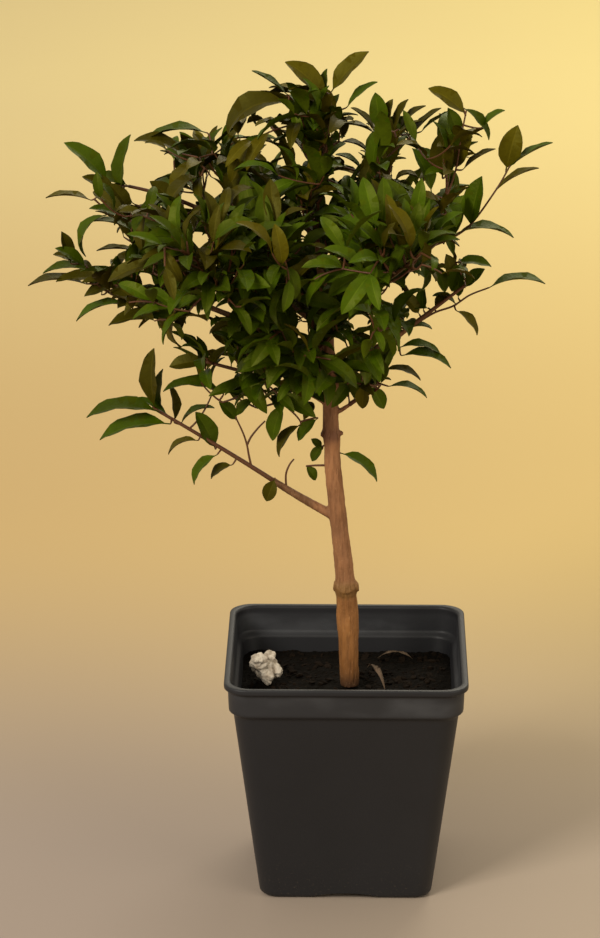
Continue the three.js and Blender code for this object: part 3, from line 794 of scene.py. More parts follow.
# %% Outline and gaps as the camera sees them
CROWN_OUTLINE = np.array([
    (-36, 385), (-24, 391), (-14, 391), (-3, 379), (5, 368), (20, 377), (33, 370), (46, 374), (60, 365),
    (63, 350), (55, 330), (48, 317), (51, 308), (59, 300), (57, 291), (37, 279), (22, 262), (17, 242),
    (-3, 235), (-18, 228), (-40, 233), (-68, 241), (-74, 257), (-88, 265), (-107, 283), (-120, 291),
    (-125, 301), (-112, 312), (-116, 322), (-118, 343), (-102, 357), (-76, 363), (-58, 366), (-50, 377),
])
SKY_GAPS = np.array([
    (-95, 350, 4.2), (-86, 348, 4.2), (-97, 338, 3.6), (-97.5, 332, 2.4), (-113, 309, 4.4),
    (-113, 315, 3.0), (-114, 303, 3.0), (-105, 310, 3.2), (-34, 375, 2.8), (-36, 354, 2.8),
    (-73, 331, 2.8), (-62, 337, 2.8), (-68, 312, 2.3), (-93, 294, 2.3), (-44, 364, 1.8),
    (36, 361, 3.4), (4.5, 362, 3.8), (1, 352, 3.2), (30, 352, 2.6), (-4, 344, 1.5),
    (25, 346, 3.7), (39, 340, 3.7), (63, 353, 3.2), (55, 346, 4.6), (64, 340, 4.6),
    (58, 330, 3.6), (-8, 332, 1.8), (43, 308, 2.8), (30, 293, 3.2), (42, 288, 4.2),
    (49, 294, 3.2), (20, 286, 2.8), (34, 279, 2.8), (5, 274, 2.8), (-57, 250, 3.7),
    (-70, 272, 3.0), (-65, 263, 2.8), (-57, 279, 2.3), (23, 250, 2.8), (-4, 263, 1.8),
    (-21, 271, 1.8), (-22, 351, 1.8),
])
GAP_SCALE = 1.25
GAP_EXTRA = 0.4


def as_seen(points):
    """Where the camera sees points: across and up, in the plane through the trunk."""
    reach = CAMERA_PLACE[1] / (CAMERA_PLACE[1] - points[:, 1])
    return (CAMERA_PLACE + (points - CAMERA_PLACE) * reach[:, None])[:, [0, 2]]


def put(across, height, depth):
    """The point at a depth that the camera sees at a place across and up."""
    spot = np.array((across, 0.0, height))
    return CAMERA_PLACE + (spot - CAMERA_PLACE) * (1 - depth / CAMERA_PLACE[1])


def is_within_outline(points):
    """True if the camera sees all the points inside the crown's outline."""
    spots = as_seen(points)
    inside = np.zeros(len(spots), bool)
    for (x1, z1), (x2, z2) in zip(CROWN_OUTLINE, np.roll(CROWN_OUTLINE, 1, axis=0)):
        crosses = (z1 > spots[:, 1]) != (z2 > spots[:, 1])
        slope = (x2 - x1) / (z2 - z1) if z1 != z2 else 0
        inside ^= crosses & (spots[:, 0] < x1 + slope * (spots[:, 1] - z1))
    return inside.all()


def is_clear_of_gaps(points):
    away = np.linalg.norm(as_seen(points)[:, None] - SKY_GAPS[:, :2], axis=2)
    return not (away < SKY_GAPS[:, 2] * GAP_SCALE + GAP_EXTRA).any()


print("crown as seen:", np.ptp(CROWN_OUTLINE, axis=0), "mm, gaps:", len(SKY_GAPS))

# %% [markdown]
# A brush cherry leaf is a long oval with a short point, folded a little along its rib and arched over.
# Each leaf is described by where it starts, where it heads, which way it faces and how far it curls,
# and its rib follows an arc of that curl. The mesh comes later. This cell only decides the places.

# %% Leaves and where they may go
LEAF_LENGTH = 28
LEAF_SIZES = (0.66, 1.04)
TIP_SIZES = (0.5, 0.98)
LEAF_WIDTH = (0.27, 0.36)
LEAF_ROOM = 0.75
LEAF_SPREAD = 0.68
TIP_SPREAD = 0.4
SPREAD_SWING = 0.4
TURN_SWING = 0.6
ROLL_SWING = 1.2
LEAF_RISE = 0.52
LEAF_CURL = (0.6, 1.6)
LEAF_SPACING = 3.5
LEAF_TRIES = [(1, 0), (1, 0.6), (1, -0.6), (0.8, 0), (0.8, 1), (0.8, -1)]
RIB_PROBES = (0.3, 0.5, 0.75, 1.0)
BODY_PROBES = (0.1, 0.25, 0.4, 0.55, 0.7, 0.85)
EDGE_PROBES = (0.2, 0.35, 0.5, 0.65)
EDGE_SHARE = 0.45
OUTWARD_FACE = 0.25
CROWN_MIDDLE = np.array((-22.0, 0.0, 280.0))
SPACE_GROWN = 1.06
BRIGHT_SHARE = 0.06
BRONZE_REACH = (35, 95)
BRONZE_SHARES = (0.08, 0.7)
# Painted light: the lighter tints are dealt more often to the right, as though that side were more lit.
PAINTED_LIGHT_PLACES = (-90, 80)
PAINTED_LIGHT_SHARES = (0.08, 0.9)
ARC_STEPS = 32
STEEP = 0.9
FAR_OFF = 1e6
SPREAD_DRAW, SIZE_DRAW, TURN_DRAW, YOUNG_DRAW, PAINTED_LIGHT_DRAW, BRIGHT_DRAW = 2, 3, 4, 7, 8, 9
LEAF_TURNS, LEAF_SPREADS, LEAF_ROLLS, LEAF_WIDTHS, LEAF_CURLS = 20, 40, 60, 80, 100
FINE_FIRST = 0.6
FINE_ROOM = 0.4
FINE_SEEDS = 17
Leaf = namedtuple("Leaf", "root heading face length width curl rise tint")


def leaf_rib(leaf, shares):
    """Points down the rib of a leaf, and the way that it faces at each."""
    steps = np.linspace(0, 1, ARC_STEPS + 1)
    bend = leaf.curl * steps - leaf.rise
    ahead = np.concatenate([[0], np.cumsum(np.cos(bend[1:] / 2 + bend[:-1] / 2))]) / ARC_STEPS
    drop = np.concatenate([[0], np.cumsum(np.sin(bend[1:] / 2 + bend[:-1] / 2))]) / ARC_STEPS
    along = np.interp(shares, steps, ahead)[:, None] * leaf.heading
    down = np.interp(shares, steps, drop)[:, None] * leaf.face
    turn = np.interp(shares, steps, bend)[:, None]
    return leaf.root + (along - down) * leaf.length, np.cos(turn) * leaf.face + np.sin(turn) * leaf.heading


def sideways(along, turn):
    """A direction square to along, turned round it."""
    level = unit(np.cross(along, SIDE if abs(along[2]) > STEEP else UP))
    return np.cross(along, level) * math.cos(turn) + level * math.sin(turn)


def lean(along, out, angle):
    return unit(along * math.cos(angle) + out * math.sin(angle))


def leaf_face(root, heading, roll):
    """A leaf faces up and a little outwards, rolled about its rib."""
    face = unit(root - CROWN_MIDDLE) * OUTWARD_FACE + UP
    face = unit(face - heading * (face @ heading))
    return face * math.cos(roll) + np.cross(face, heading) * math.sin(roll)


def spray_tint(seed, root):
    """The tint of a spray: bronze more often near the outline, and a lighter tint more often to the right, as
    painted light.
    """
    across, _, up = root - CROWN_MIDDLE
    young_share = np.interp(math.hypot(across, up), BRONZE_REACH, BRONZE_SHARES)
    is_young = chance(seed, YOUNG_DRAW) < young_share
    # Painted light: a lighter tint more often to the right.
    is_painted_lit = chance(seed, PAINTED_LIGHT_DRAW) < np.interp(root[0], PAINTED_LIGHT_PLACES, PAINTED_LIGHT_SHARES)
    if chance(seed, BRIGHT_DRAW) < BRIGHT_SHARE:
        return "bright"
    if is_young:
        return "bronze" if is_painted_lit else "olive"
    return "green" if is_painted_lit else "dark"


def leaf_pairs(length):
    """How many pairs of leaves a twig of a length carries."""
    return 1 + int((length - TIP_ROOM) / TWIG_INTERNODE)


class Growth:
    """The leaves and twigs of one mass, within its own space."""

    taken = np.full((1, 3), FAR_OFF)

    def __init__(self, centre, half):
        self.centre = np.array(centre, float)
        self.half = np.array(half, float) * SPACE_GROWN
        self.leaves = []
        self.twigs = []

    def is_free(self, points, radius):
        if ((((points - self.centre) / self.half) ** 2).sum(1) >= 1).any():
            return False
        gaps = np.linalg.norm(points[:, None] - beads[:, :3], axis=2) - beads[:, 3]
        return gaps.min() > radius + LIMB_GAP

    def room_ahead(self, point, heading):
        """How far it is from a point to the end of the space."""
        start, step = (point - self.centre) / self.half, heading / self.half
        halfway = start @ step / (step @ step)
        excess = (start @ start - 1) / (step @ step)
        return math.sqrt(max(halfway * halfway - excess, 0)) - halfway

    def keep(self, leaf):
        self.leaves.append(leaf)
        Growth.taken = np.vstack([Growth.taken, leaf_rib(leaf, RIB_PROBES)[0]])

    def fits(self, leaf):
        rib, _ = leaf_rib(leaf, RIB_PROBES)
        tip = rib[-1:]
        if np.linalg.norm(rib[:, None] - Growth.taken, axis=2).min() < LEAF_SPACING:
            return False
        edge = np.cross(leaf.face, leaf.heading) * leaf.width * EDGE_SHARE
        spine, _ = leaf_rib(leaf, BODY_PROBES)
        middle, _ = leaf_rib(leaf, EDGE_PROBES)
        body = np.vstack([spine, middle + edge, middle - edge])
        in_view = is_within_outline(body) and is_clear_of_gaps(np.vstack([body, tip]))
        return in_view and self.is_free(rib, LEAF_CLEARANCE)

    def add_leaf(self, root, along, turn, spread, size, seed, draw, tint):
        for share, swing in LEAF_TRIES:
            heading = lean(along, sideways(along, turn + swing), spread)
            face = leaf_face(root, heading, ROLL_SWING * (chance(seed, draw + LEAF_ROLLS) - 0.5))
            length = LEAF_LENGTH * size * share
            width = length * between(LEAF_WIDTH, chance(seed, draw + LEAF_WIDTHS))
            curl = between(LEAF_CURL, chance(seed, draw + LEAF_CURLS))
            leaf = Leaf(root, heading, face, length, width, curl, LEAF_RISE, tint)
            if self.fits(leaf):
                self.keep(leaf)
                return True
        return False

    def add_leaves(self, route, seed, turn, pairs, tint):
        """Pairs of leaves from the tip inwards, each pair a quarter turn from the last.
        Returns the share of the route that they need."""
        needed = 0
        for pair in range(pairs):
            share = 1 - (TIP_SETBACK + pair * TWIG_INTERNODE) / route.length
            for side in (0, 1):
                draw = pair * 2 + side
                spread = LEAF_SPREAD if pair else TIP_SPREAD
                spread += SPREAD_SWING * (chance(seed, draw + LEAF_SPREADS) - 0.5)
                swing = TURN_SWING * (chance(seed, draw + LEAF_TURNS) - 0.5)
                way = turn + pair * math.pi / 2 + side * math.pi + swing
                size = between(LEAF_SIZES if pair else TIP_SIZES, chance(seed, draw))
                root, along = route.at(share), route.heading(share)
                if self.add_leaf(root, along, way, spread, size, seed, draw, tint):
                    needed = max(needed, share)
        return needed

    def add_twig(self, root, along, turn, seed, reach, radius):
        """A twig with its leaves and, unless it is a fine one, twigs of its own.
        Returns whether it carries any. A bare twig is left out, and a bare end is cut off."""
        spread = TWIG_SPREAD + TWIG_SWING * (chance(seed, SPREAD_DRAW) - 0.5)
        out = lean(along, sideways(along, turn), spread)
        aim = unit(out + UP * np.interp(root[2], LIFT_HEIGHTS, TWIG_LIFT))
        room = self.room_ahead(root, aim) - LEAF_ROOM * LEAF_LENGTH
        length = min(room, reach[1]) * between(TWIG_SIZES, chance(seed, SIZE_DRAW))
        is_fine = reach is FINE_REACH
        tint = spray_tint(seed, root)
        if length > reach[0]:
            route = bent(root, root + out * length * TWIG_BEND, root + aim * length, TWIG_STEPS)
            if self.is_free(route.points[TWIG_BASE:], radius[0]) and is_clear_of_gaps(route.points):
                leaf_turn = chance(seed, TURN_DRAW) * math.pi
                needed = self.add_leaves(route, seed, leaf_turn, leaf_pairs(length), tint)
                if not is_fine:
                    needed = max(needed, self.add_fine_twigs(route, leaf_turn, seed))
                if needed > 0:
                    self.twigs.append(Twig(route.upto(needed), radius))
                return needed > 0
        return not is_fine and self.add_leaf(root, along, turn, spread, 1, seed, 0, tint)

    def add_fine_twigs(self, route, turn, seed):
        needed = 0
        nodes = int(route.length / TWIG_INTERNODE)
        for node in range(nodes):
            share = (node + FINE_FIRST) / (nodes + FINE_ROOM)
            for side in (0, 1):
                way = turn + (node + 0.5) * math.pi / 2 + side * math.pi
                fine_seed = seed * FINE_SEEDS + node * 2 + side + 0.5
                root, along = route.at(share), route.heading(share)
                if self.add_twig(root, along, way, fine_seed, FINE_REACH, FINE_RADIUS):
                    needed = max(needed, share)
        return needed


print("a leaf is about", LEAF_LENGTH, "mm long")

# %% [markdown]
# Against the bright wall the outermost leaves show one by one, and they give the tree its face. A purely
# random crown would never have them, so each is given in a list: where its stalk and its tip are seen,
# how much it arches, how far it turns its face to the camera, and how far behind the trunk it stands, or in
# front of it if the number is below nought.

# %% Leaves that show one by one
SHOWN_LEAVES = {
    "low_left": [
        ((-88, 230), (-122, 227), 0.9, 28, -2), ((-83, 224), (-116, 216), 0.8, 30, -4),
        ((-90, 232), (-90, 261), 0.5, 40, 2), ((-87, 231), (-86, 251), 0.5, 30, 5),
        ((-81, 225), (-83, 243), 0.6, 35, 3), ((-70, 216), (-84, 209), 1.3, 20, -4),
        ((-61, 209), (-72, 194), 1.2, 35, -3), ((-54, 204), (-64, 197), 1.0, 35, -2),
        ((-62, 212), (-71, 230), 0.6, 62, 3), ((-78, 224), (-62, 232), 1.3, 18, 5),
        ((-52, 226), (-60, 235), 0.6, 60, 0), ((-52, 228), (-44.5, 236), 0.6, 45, 0),
        ((-34, 197), (-38, 186), 0.4, 80, -5), ((-84, 228), (-100, 236), 0.8, 30, 4),
    ],
    "under_crown": [
        ((-30, 234), (-35, 216), 0.7, 58, -8), ((-22, 224), (-32, 208), 1.2, 35, -8),
        ((-14, 227), (-23, 216), 0.8, 50, -9), ((-3, 210), (14, 196), 1.0, 34, 0),
        ((-11.5, 213.5), (-16.6, 206), 0.6, 60, 0), ((-12, 212), (-17, 217), 0.5, 60, 1),
        ((-19.4, 203.6), (-14.9, 196.5), 0.7, 60, 0),
    ],
    "right": [
        ((24, 262), (43, 259), 1.1, 26, 0), ((25, 258), (48, 252), 1.1, 26, -3),
        ((17, 251), (34, 246), 1.1, 26, -4), ((19, 243), (37, 237.5), 1.1, 20, -4),
        ((30, 272), (39, 271), 0.9, 16, 2), ((50, 280), (60, 268), 0.9, 32, -3),
        ((65, 291), (91, 293), 1.0, 18, 0), ((8, 244), (7, 232), 0.5, 70, -10),
        ((11, 243), (17, 232), 0.5, 70, -7), ((50, 303), (66, 301), 0.9, 40, 0),
        ((54, 291), (63, 300), 0.6, 52, 1), ((52, 303), (48, 289), 0.6, 55, -2),
        ((45, 288), (40, 301), 0.6, 55, 1), ((51, 286), (52, 300), 0.6, 65, 2),
        ((50, 283), (39, 287), 0.9, 20, 2), ((33, 278), (25, 288), 0.6, 60, -3),
        ((35, 280), (35, 291), 0.5, 50, -3), ((40, 281), (47, 288), 0.6, 40, 0),
        ((48, 295), (45, 307), 0.5, 60, 0), ((37, 281), (29, 281), 0.7, 40, -2),
    ],
    "upper_right": [
        ((74, 349), (93, 360), 0.4, 14, 0), ((68, 338), (87, 348), 0.6, 16, -4),
        ((72, 347), (77, 368), 0.5, 80, 3), ((56, 320), (61, 344), 0.4, 55, 0),
        ((50, 317), (76, 315), 1.1, 18, 0), ((53, 373), (36, 385), 0.8, 50, 2),
        ((52, 376), (64, 361), 0.9, 30, 3), ((61, 367), (71, 375), 0.6, 24, 4),
        ((50, 361), (45, 376), 0.5, 60, 1), ((43, 343), (44, 366), 0.5, 75, 0),
        ((38, 336), (29, 357), 0.7, 42, 1), ((49, 347), (56, 366), 0.6, 60, 3),
        ((52, 347), (67, 357), 0.5, 14, 2), ((44, 312), (53, 335), 0.6, 66, -2),
        ((43, 314), (38, 333), 0.5, 58, -2), ((14, 366), (12, 383), 0.5, 80, 2),
        ((17, 366), (20, 380), 0.6, 45, 4), ((21, 365), (27, 380), 0.5, 30, 2),
        ((23, 366), (35, 377), 0.6, 20, 2), ((28, 362), (42, 376), 0.4, 18, 0),
        ((22, 362), (33, 370), 0.5, 14, 0), ((12, 365), (1, 376), 0.5, 16, 2),
        ((12, 364), (-4, 368), 0.8, 10, 3), ((9, 355), (-3, 360), 0.9, 14, 3),
        ((6, 347), (-6, 354), 0.8, 16, 2), ((21, 341), (32, 343), 1.9, 16, -2),
    ],
    "top": [
        ((-8, 383), (9, 402), 0.5, 42, 0), ((-1, 376), (13, 388), 0.5, 26, 0),
        ((-11, 380), (-29, 397), 0.9, 50, -2), ((-28, 382), (-44, 393), 0.3, 16, 0),
        ((-28, 378), (-55, 363), 1.9, 40, -4), ((-10, 383), (-10, 394), 0.3, 30, 2),
    ],
    "left": [
        ((-110, 340), (-130, 359), 0.6, 42, 0), ((-118, 332), (-139, 333), 0.7, 15, 0),
        ((-104, 334), (-99.5, 363), 0.6, 30, 2), ((-76, 354), (-98, 360), 1.1, 36, 2),
        ((-65, 364), (-92, 361), 0.9, 18, 4), ((-111, 325), (-121, 305), 2.0, 20, 0),
        ((-121, 292), (-148, 291), 0.8, 18, 0), ((-118, 298), (-141, 297), 0.9, 24, 2),
        ((-123, 302), (-136, 306), 0.6, 40, 4), ((-128, 302), (-132, 317), 0.4, 55, 2),
        ((-121, 300), (-135, 309), 0.7, 45, -2), ((-114, 294), (-135, 293), 0.7, 34, -5),
        ((-106, 334), (-122, 343), 0.7, 48, -3), ((-98, 330), (-117, 336), 0.8, 40, 3),
        ((-100, 322), (-119, 328), 0.8, 34, -2), ((-100, 318), (-118, 322), 0.7, 16, 0),
        ((-98, 308), (-116, 308), 0.5, 14, 0), ((-103, 283), (-126, 274), 0.9, 20, 0),
        ((-85, 276), (-111, 272), 0.7, 34, -4), ((-66, 255), (-83, 252), 0.6, 60, 0),
        ((-58, 239), (-86, 240), 1.2, 26, -2), ((-40, 235), (-61, 240), 0.8, 34, -3),
        ((-68, 248), (-70, 267), 0.4, 42, 2), ((-66, 250), (-55, 262), 0.5, 36, 0),
        ((-106, 292), (-122, 286), 0.5, 45, -2), ((-77, 327), (-91, 341), 0.6, 60, -6),
        ((-100, 326), (-110, 340), 0.6, 55, -2),
    ],
}
SHOWN_TWIGS = [
    [(-44.7, 202), (-46.1, 208.4), (-47, 213.8), (-48.8, 219.7), (-52, 227)],
    [(-47, 213.8), (-45.1, 217.8), (-41.8, 222.2), (-38.5, 225.7)],
    [(-28.5, 191), (-28.8, 199), (-27.2, 204), (-25, 207)], [(-8, 204), (-14.7, 203.9), (-19.4, 203.6)],
    [(10, 262), (21.4, 265.5), (30.2, 272.4), (39.8, 278.7), (48.6, 282.1), (56.3, 287.4), (65, 291)],
    [(17, 326), (14.4, 342), (13.3, 356), (14, 366)], [(14, 348), (20, 355), (28, 362)],
    [(34, 309), (46, 314), (56, 321), (67.5, 337.5), (73.5, 348.5)],
    [(34, 312), (41, 322), (45, 334), (49, 347), (51, 361), (53.5, 375)],
]
SHOWN_RADIUS = (0.6, 0.4)
SHOWN_FACINGS = (20, 75)
SHOWN_WIDTHS = (0.36, 0.5)
SHORT_WIDTH = 0.6
LEAST_WIDTH = 7


def arc_length(chord, curl):
    """The length of an arc from its chord and the angle that it curls through."""
    return chord * (curl / 2) / math.sin(curl / 2)


def shown_leaf(stalk, tip, curl, facing, depth, tint):
    root, end = put(*stalk, depth), put(*tip, depth)
    chord = np.linalg.norm(end - root)
    heading = (end - root) / chord
    view = unit(CAMERA_PLACE - root)
    upward = unit(np.cross(view, heading))
    upward = upward if upward[2] >= 0 else -upward
    toward = unit(view - heading * (view @ heading))
    face = lean(upward, toward, math.radians(facing))
    length = arc_length(chord, curl)
    width = np.interp(facing, SHOWN_FACINGS, SHOWN_WIDTHS) * length
    width = max(width, min(SHORT_WIDTH * length, LEAST_WIDTH))
    return Leaf(root, heading, face, length, width, curl, curl / 2, tint)


# Leaves that are listed aren't held to a space, so this one is never asked for.
shown = Growth((0, 0, 0), (1, 1, 1))
for spray, rows in SHOWN_LEAVES.items():
    for number, row in enumerate(rows):
        shown.keep(shown_leaf(*row, spray_tint(len(spray) + number, put(*row[0], 0))))
for row in SHOWN_TWIGS:
    shown.twigs.append(Twig(smooth_route([put(*spot, 0) for spot in row]), SHOWN_RADIUS))
print("leaves placed by hand:", len(shown.leaves), "twigs:", len(shown.twigs))

# %% [markdown]
# Now the crown grows. Every mass starts from its own seed, as in the solids, so the tree comes out the same
# each time. The listed leaves are already there and hold their room. What is left empty is then
# filled by fine twigs, and at the end each listed leaf gets a shoot from the nearest wood.

# %% Grow the crown
SHOOT_BEND = 0.2
SHORTEST_SHOOT = 0.5
FILL_DRAWS = 420
FILL_DEPTH = (0.45, 0.92)
FILL_ROOM = 7.2
FILL_REACH = (5, 27)
FILL_SAG = (0.6, 0.6, 0.25)
FILL_WAYS = 200
FILL_DEPTHS = 203
FILL_SEED_STEP = 0.37
MASS_SEED_STEP = 100
STEM_PAIRS = 2


def nearest(wood, spot):
    """The point of the wood that is nearest to a spot, and how far off it is."""
    away = np.linalg.norm(wood - spot, axis=1)
    return wood[away.argmin()], away.min()


def grow_mass(stem, centre, half, seed):
    growth = Growth(centre, half)
    needed = growth.add_leaves(stem, seed, 0, STEM_PAIRS, spray_tint(seed, stem.at(1)))
    nodes = max(2, round(stem.length / STEM_INTERNODE))
    for node in reversed(range(nodes)):
        share = (node + FIRST_NODE) / nodes
        for side in (0, 1):
            twig_seed = seed + node * 2 + side + 1
            turn = node * math.pi / 2 + side * math.pi + NODE_SWING * (chance(twig_seed, 1) - 0.5)
            root, along = stem.at(share), stem.heading(share)
            if growth.add_twig(root, along, turn, twig_seed, TWIG_REACH, TWIG_RADIUS):
                needed = max(needed, share)
    growth.twigs.append(Twig(stem.upto(needed) if needed > 0 else stem, STEM_RADIUS))
    return growth


def fill_mass(growth, seed):
    """Fine twigs from the nearest wood into what is still empty."""
    for draw in range(FILL_DRAWS):
        own_seed = seed + draw * FILL_SEED_STEP
        way = unit(np.array([chance(own_seed, axis + FILL_WAYS) - 0.5 for axis in range(3)]))
        spot = growth.centre + way * growth.half * between(FILL_DEPTH, chance(own_seed, FILL_DEPTHS))
        if np.linalg.norm(Growth.taken - spot, axis=1).min() < FILL_ROOM:
            continue
        if not (is_within_outline(spot[None]) and is_clear_of_gaps(spot[None])):
            continue
        start, gap = nearest(np.vstack([twig.route.points for twig in growth.twigs]), spot)
        if FILL_REACH[0] < gap < FILL_REACH[1]:
            route = bent(start, start + (spot - start) * FILL_SAG, spot, TWIG_STEPS)
            if growth.is_free(route.points[TWIG_BASE:], FINE_RADIUS[0]) and is_clear_of_gaps(route.points):
                turn, tint = chance(own_seed, TURN_DRAW) * math.pi, spray_tint(own_seed, spot)
                needed = growth.add_leaves(route, own_seed, turn, leaf_pairs(gap), tint)
                if needed > 0:
                    growth.twigs.append(Twig(route.upto(needed), FINE_RADIUS))


def add_shoots(growth, wood):
    """A shoot from the nearest wood to each listed leaf."""
    for leaf in growth.leaves:
        start, gap = nearest(wood, leaf.root)
        if gap > SHORTEST_SHOOT:
            route = bent(start, leaf.root - leaf.heading * gap * SHOOT_BEND, leaf.root, TWIG_STEPS)
            growth.twigs.append(Twig(route, FINE_RADIUS))
            wood = np.vstack([wood, route.points])


crown = [
    grow_mass(stems[name], centre, half, (number + 1) * MASS_SEED_STEP)
    for number, (name, centre, half, tip) in enumerate(MASSES)
]
for number, growth in enumerate(crown):
    fill_mass(growth, (number + 1) * MASS_SEED_STEP)
wood = [limb.route.points for limb in limbs.values()]
wood += [twig.route.points for growth in crown + [shown] for twig in growth.twigs]
add_shoots(shown, np.vstack(wood))
crown.append(shown)
leaves = [leaf for growth in crown for leaf in growth.leaves]
twigs = [twig for growth in crown for twig in growth.twigs]
print("leaves:", len(leaves), "twigs:", len(twigs))

# %% [markdown]
# The trunk and boughs become one skin. Tubes that merely poke into each other show a hard seam at every
# fork, so the limbs are drawn as a curve with a changing thickness, made a mesh, fused by a voxel remesh
# and smoothed, which leaves a small collar at each fork. Noise that is stretched along the wood then
# raises the bark's ridges in the mesh itself.

# %% Trunk and boughs
BARK_VOXEL = 0.5
BARK_SMOOTHING = 4
BARK_RESOLUTION = 4
RIDGE_WIDTH = 1.5
RIDGE_LENGTH = 11.0
RIDGE_HEIGHT = 0.22
LUMP_SIZE = 7.0
LUMP_HEIGHT = 0.3
GRAIN_SIZE = 0.8
GRAIN_STRETCH = 3
GRAIN_HEIGHT = 0.1
TRUNK_ZONE = 8
BOUGH_SHARE = 0.5
KNOBS = [
    ((-2.8, -0.6, 142.8), (-6.4, -0.8, 143.4), 2.3), ((2.2, -0.6, 142.8), (5.8, -0.8, 143.2), 2.3),
    ((-6.4, 0, 219.5), (-2.2, -1.6, 220.6), 1.5), ((-8.6, 0, 218.6), (-12.0, -1.0, 220.4), 2.3),
]
KNOB_TAPER = 0.8
COLLAR_MIDDLE = np.array((-0.4, 0, 143.6))
COLLAR_RADIUS = 4.7
COLLAR_THICKNESS = 1.35
COLLAR_SWING = 1.2
COLLAR_STEPS = 32


def collar_bar():
    """A ring of old bark round the trunk that dips in front and behind."""
    turns = np.linspace(0, math.tau, COLLAR_STEPS + 1)
    dips = COLLAR_SWING * np.cos(turns * 2)
    ring = np.stack([np.cos(turns) * COLLAR_RADIUS, np.sin(turns) * COLLAR_RADIUS, dips], axis=1)
    return COLLAR_MIDDLE + ring, np.full(len(turns), COLLAR_THICKNESS)


def wood_curve(name, splines, resolution):
    """A curve of round bars, each a list of points in millimetres with a radius at each."""
    curve = bpy.data.curves.new(name, "CURVE")
    curve.dimensions = "3D"
    curve.bevel_depth = MM
    curve.bevel_resolution = resolution
    curve.use_fill_caps = True
    for points, radii in splines:
        spline = curve.splines.new("POLY")
        spline.points.add(len(points) - 1)
        places = np.hstack([np.array(points) * MM, np.ones((len(points), 1))])
        spline.points.foreach_set("co", places.ravel())
        spline.points.foreach_set("radius", np.array(radii, float))
    piece = bpy.data.objects.new(name, curve)
    bpy.context.scene.collection.objects.link(piece)
    return finished(piece)


def bark_skin():
    bars = [limb_bar(limb) for limb in limbs.values()]
    bars += [([start, finish], [radius, radius * KNOB_TAPER]) for start, finish, radius in KNOBS]
    bars.append(collar_bar())
    return fused(new_object("rough_bark", wood_curve("limb_bars", bars, BARK_RESOLUTION)), BARK_VOXEL)


def raise_bark(mesh):
    """Smooths the skin and lifts ridges, lumps and grain along its normals."""
    skin = bmesh.new()
    skin.from_mesh(mesh)
    for _ in range(BARK_SMOOTHING):
        bmesh.ops.smooth_vert(
            skin, verts=skin.verts[:], factor=0.5, use_axis_x=True, use_axis_y=True, use_axis_z=True,
        )
    skin.normal_update()
    lifts = []
    for vert in skin.verts:
        x, y, z = vert.co / MM
        ridges = noise.noise(Vector((x / RIDGE_WIDTH, y / RIDGE_WIDTH, z / RIDGE_LENGTH)))
        lumps = noise.noise(Vector((x, y, z)) / LUMP_SIZE)
        grain = noise.noise(Vector((x, y, z / GRAIN_STRETCH)) / GRAIN_SIZE)
        lifts.append(-abs(ridges) * RIDGE_HEIGHT + lumps * LUMP_HEIGHT + grain * GRAIN_HEIGHT)
    for vert, lift in zip(skin.verts, lifts):
        on_trunk = abs(vert.co.x - trunk_x(vert.co.z)) < TRUNK_ZONE * MM
        vert.co += vert.normal * lift * MM * (1 if on_trunk else BOUGH_SHARE)
    skin.to_mesh(mesh)
    skin.free()
    mesh.shade_smooth()


def trunk_x(height):
    """Where the trunk's middle is at a height, in metres."""
    return np.interp(height / MM, trunk.points[:, 2], trunk.points[:, 0]) * MM


bark_mesh = bark_skin()
raise_bark(bark_mesh)
print("bark:", len(bark_mesh.polygons), "faces")

# %% [markdown]
# Young brush cherry bark is smooth and pinkish tan, more orange near the soil, darker in its furrows, at
# the knob and at the old node, and painted darker just above the mix as shade where the trunk meets it.
# The height on the tree decides the tint, and stretched noise the furrows.

# %% Bark finish
KNOB_BAND = ((0.137, 0.141), (0.1445, 0.149))
NODE_BAND = ((0.215, 0.219), (0.2205, 0.225))
FOOT_SHADE_HEIGHTS = (0.094, 0.104)
ORANGE_HEIGHTS = (0.141, 0.148)
CROWN_HEIGHTS = (0.225, 0.275)
LOW_BOUGH_HEIGHTS = (0.17, 0.18)
LOW_BOUGH_PLACES = (-0.019, -0.013)
BARK_BUMP = 0.0003

bark = Finish("bark", {"Roughness": 0.72, "Specular IOR Level": 0.35})
rise = bark.along("Z")
furrows = bark.step(bark.mottle(620, 4, (1, 1, 0.14)), 0.42, 0.68)
patches = bark.step(bark.mottle(75, 3, (1, 1, 0.45)), 0.4, 0.7)
flecks = bark.step(bark.mottle(1100, 3, (1, 1, 0.5)), 0.58, 0.72)
tan = bark.blend(patches, shade(160, 110, 70), shade(130, 88, 56))
orange = bark.blend(patches, shade(158, 106, 56), shade(126, 80, 36))
tone = bark.blend(bark.step(rise, *ORANGE_HEIGHTS), orange, tan)
left_of_trunk = 1 - bark.step(bark.along("X"), *LOW_BOUGH_PLACES)
on_bough = left_of_trunk * bark.step(rise, *LOW_BOUGH_HEIGHTS)
layers = [
    (bark.band(rise, *KNOB_BAND) * 0.7, (128, 94, 48)),
    (bark.band(rise, *NODE_BAND) * 0.55, (92, 52, 34)),
    # painted shade at the foot, where the trunk meets the mix
    (1 - bark.step(rise, *FOOT_SHADE_HEIGHTS), (70, 44, 22)),
    (bark.step(rise, *CROWN_HEIGHTS) * 0.6, (92, 58, 32)),
    (on_bough * 0.7, (98, 68, 38)),
    (furrows * 0.32, (72, 42, 20)),
    (flecks * 0.2, (190, 150, 102)),
]
for share, colour in layers:
    tone = bark.blend(share, tone, shade(*colour))
bark.colour(tone)
bark.roughness(0.6 + furrows * 0.25)
bark.bump(furrows * -0.8 + bark.mottle(1600, 3) * 0.5, BARK_BUMP)

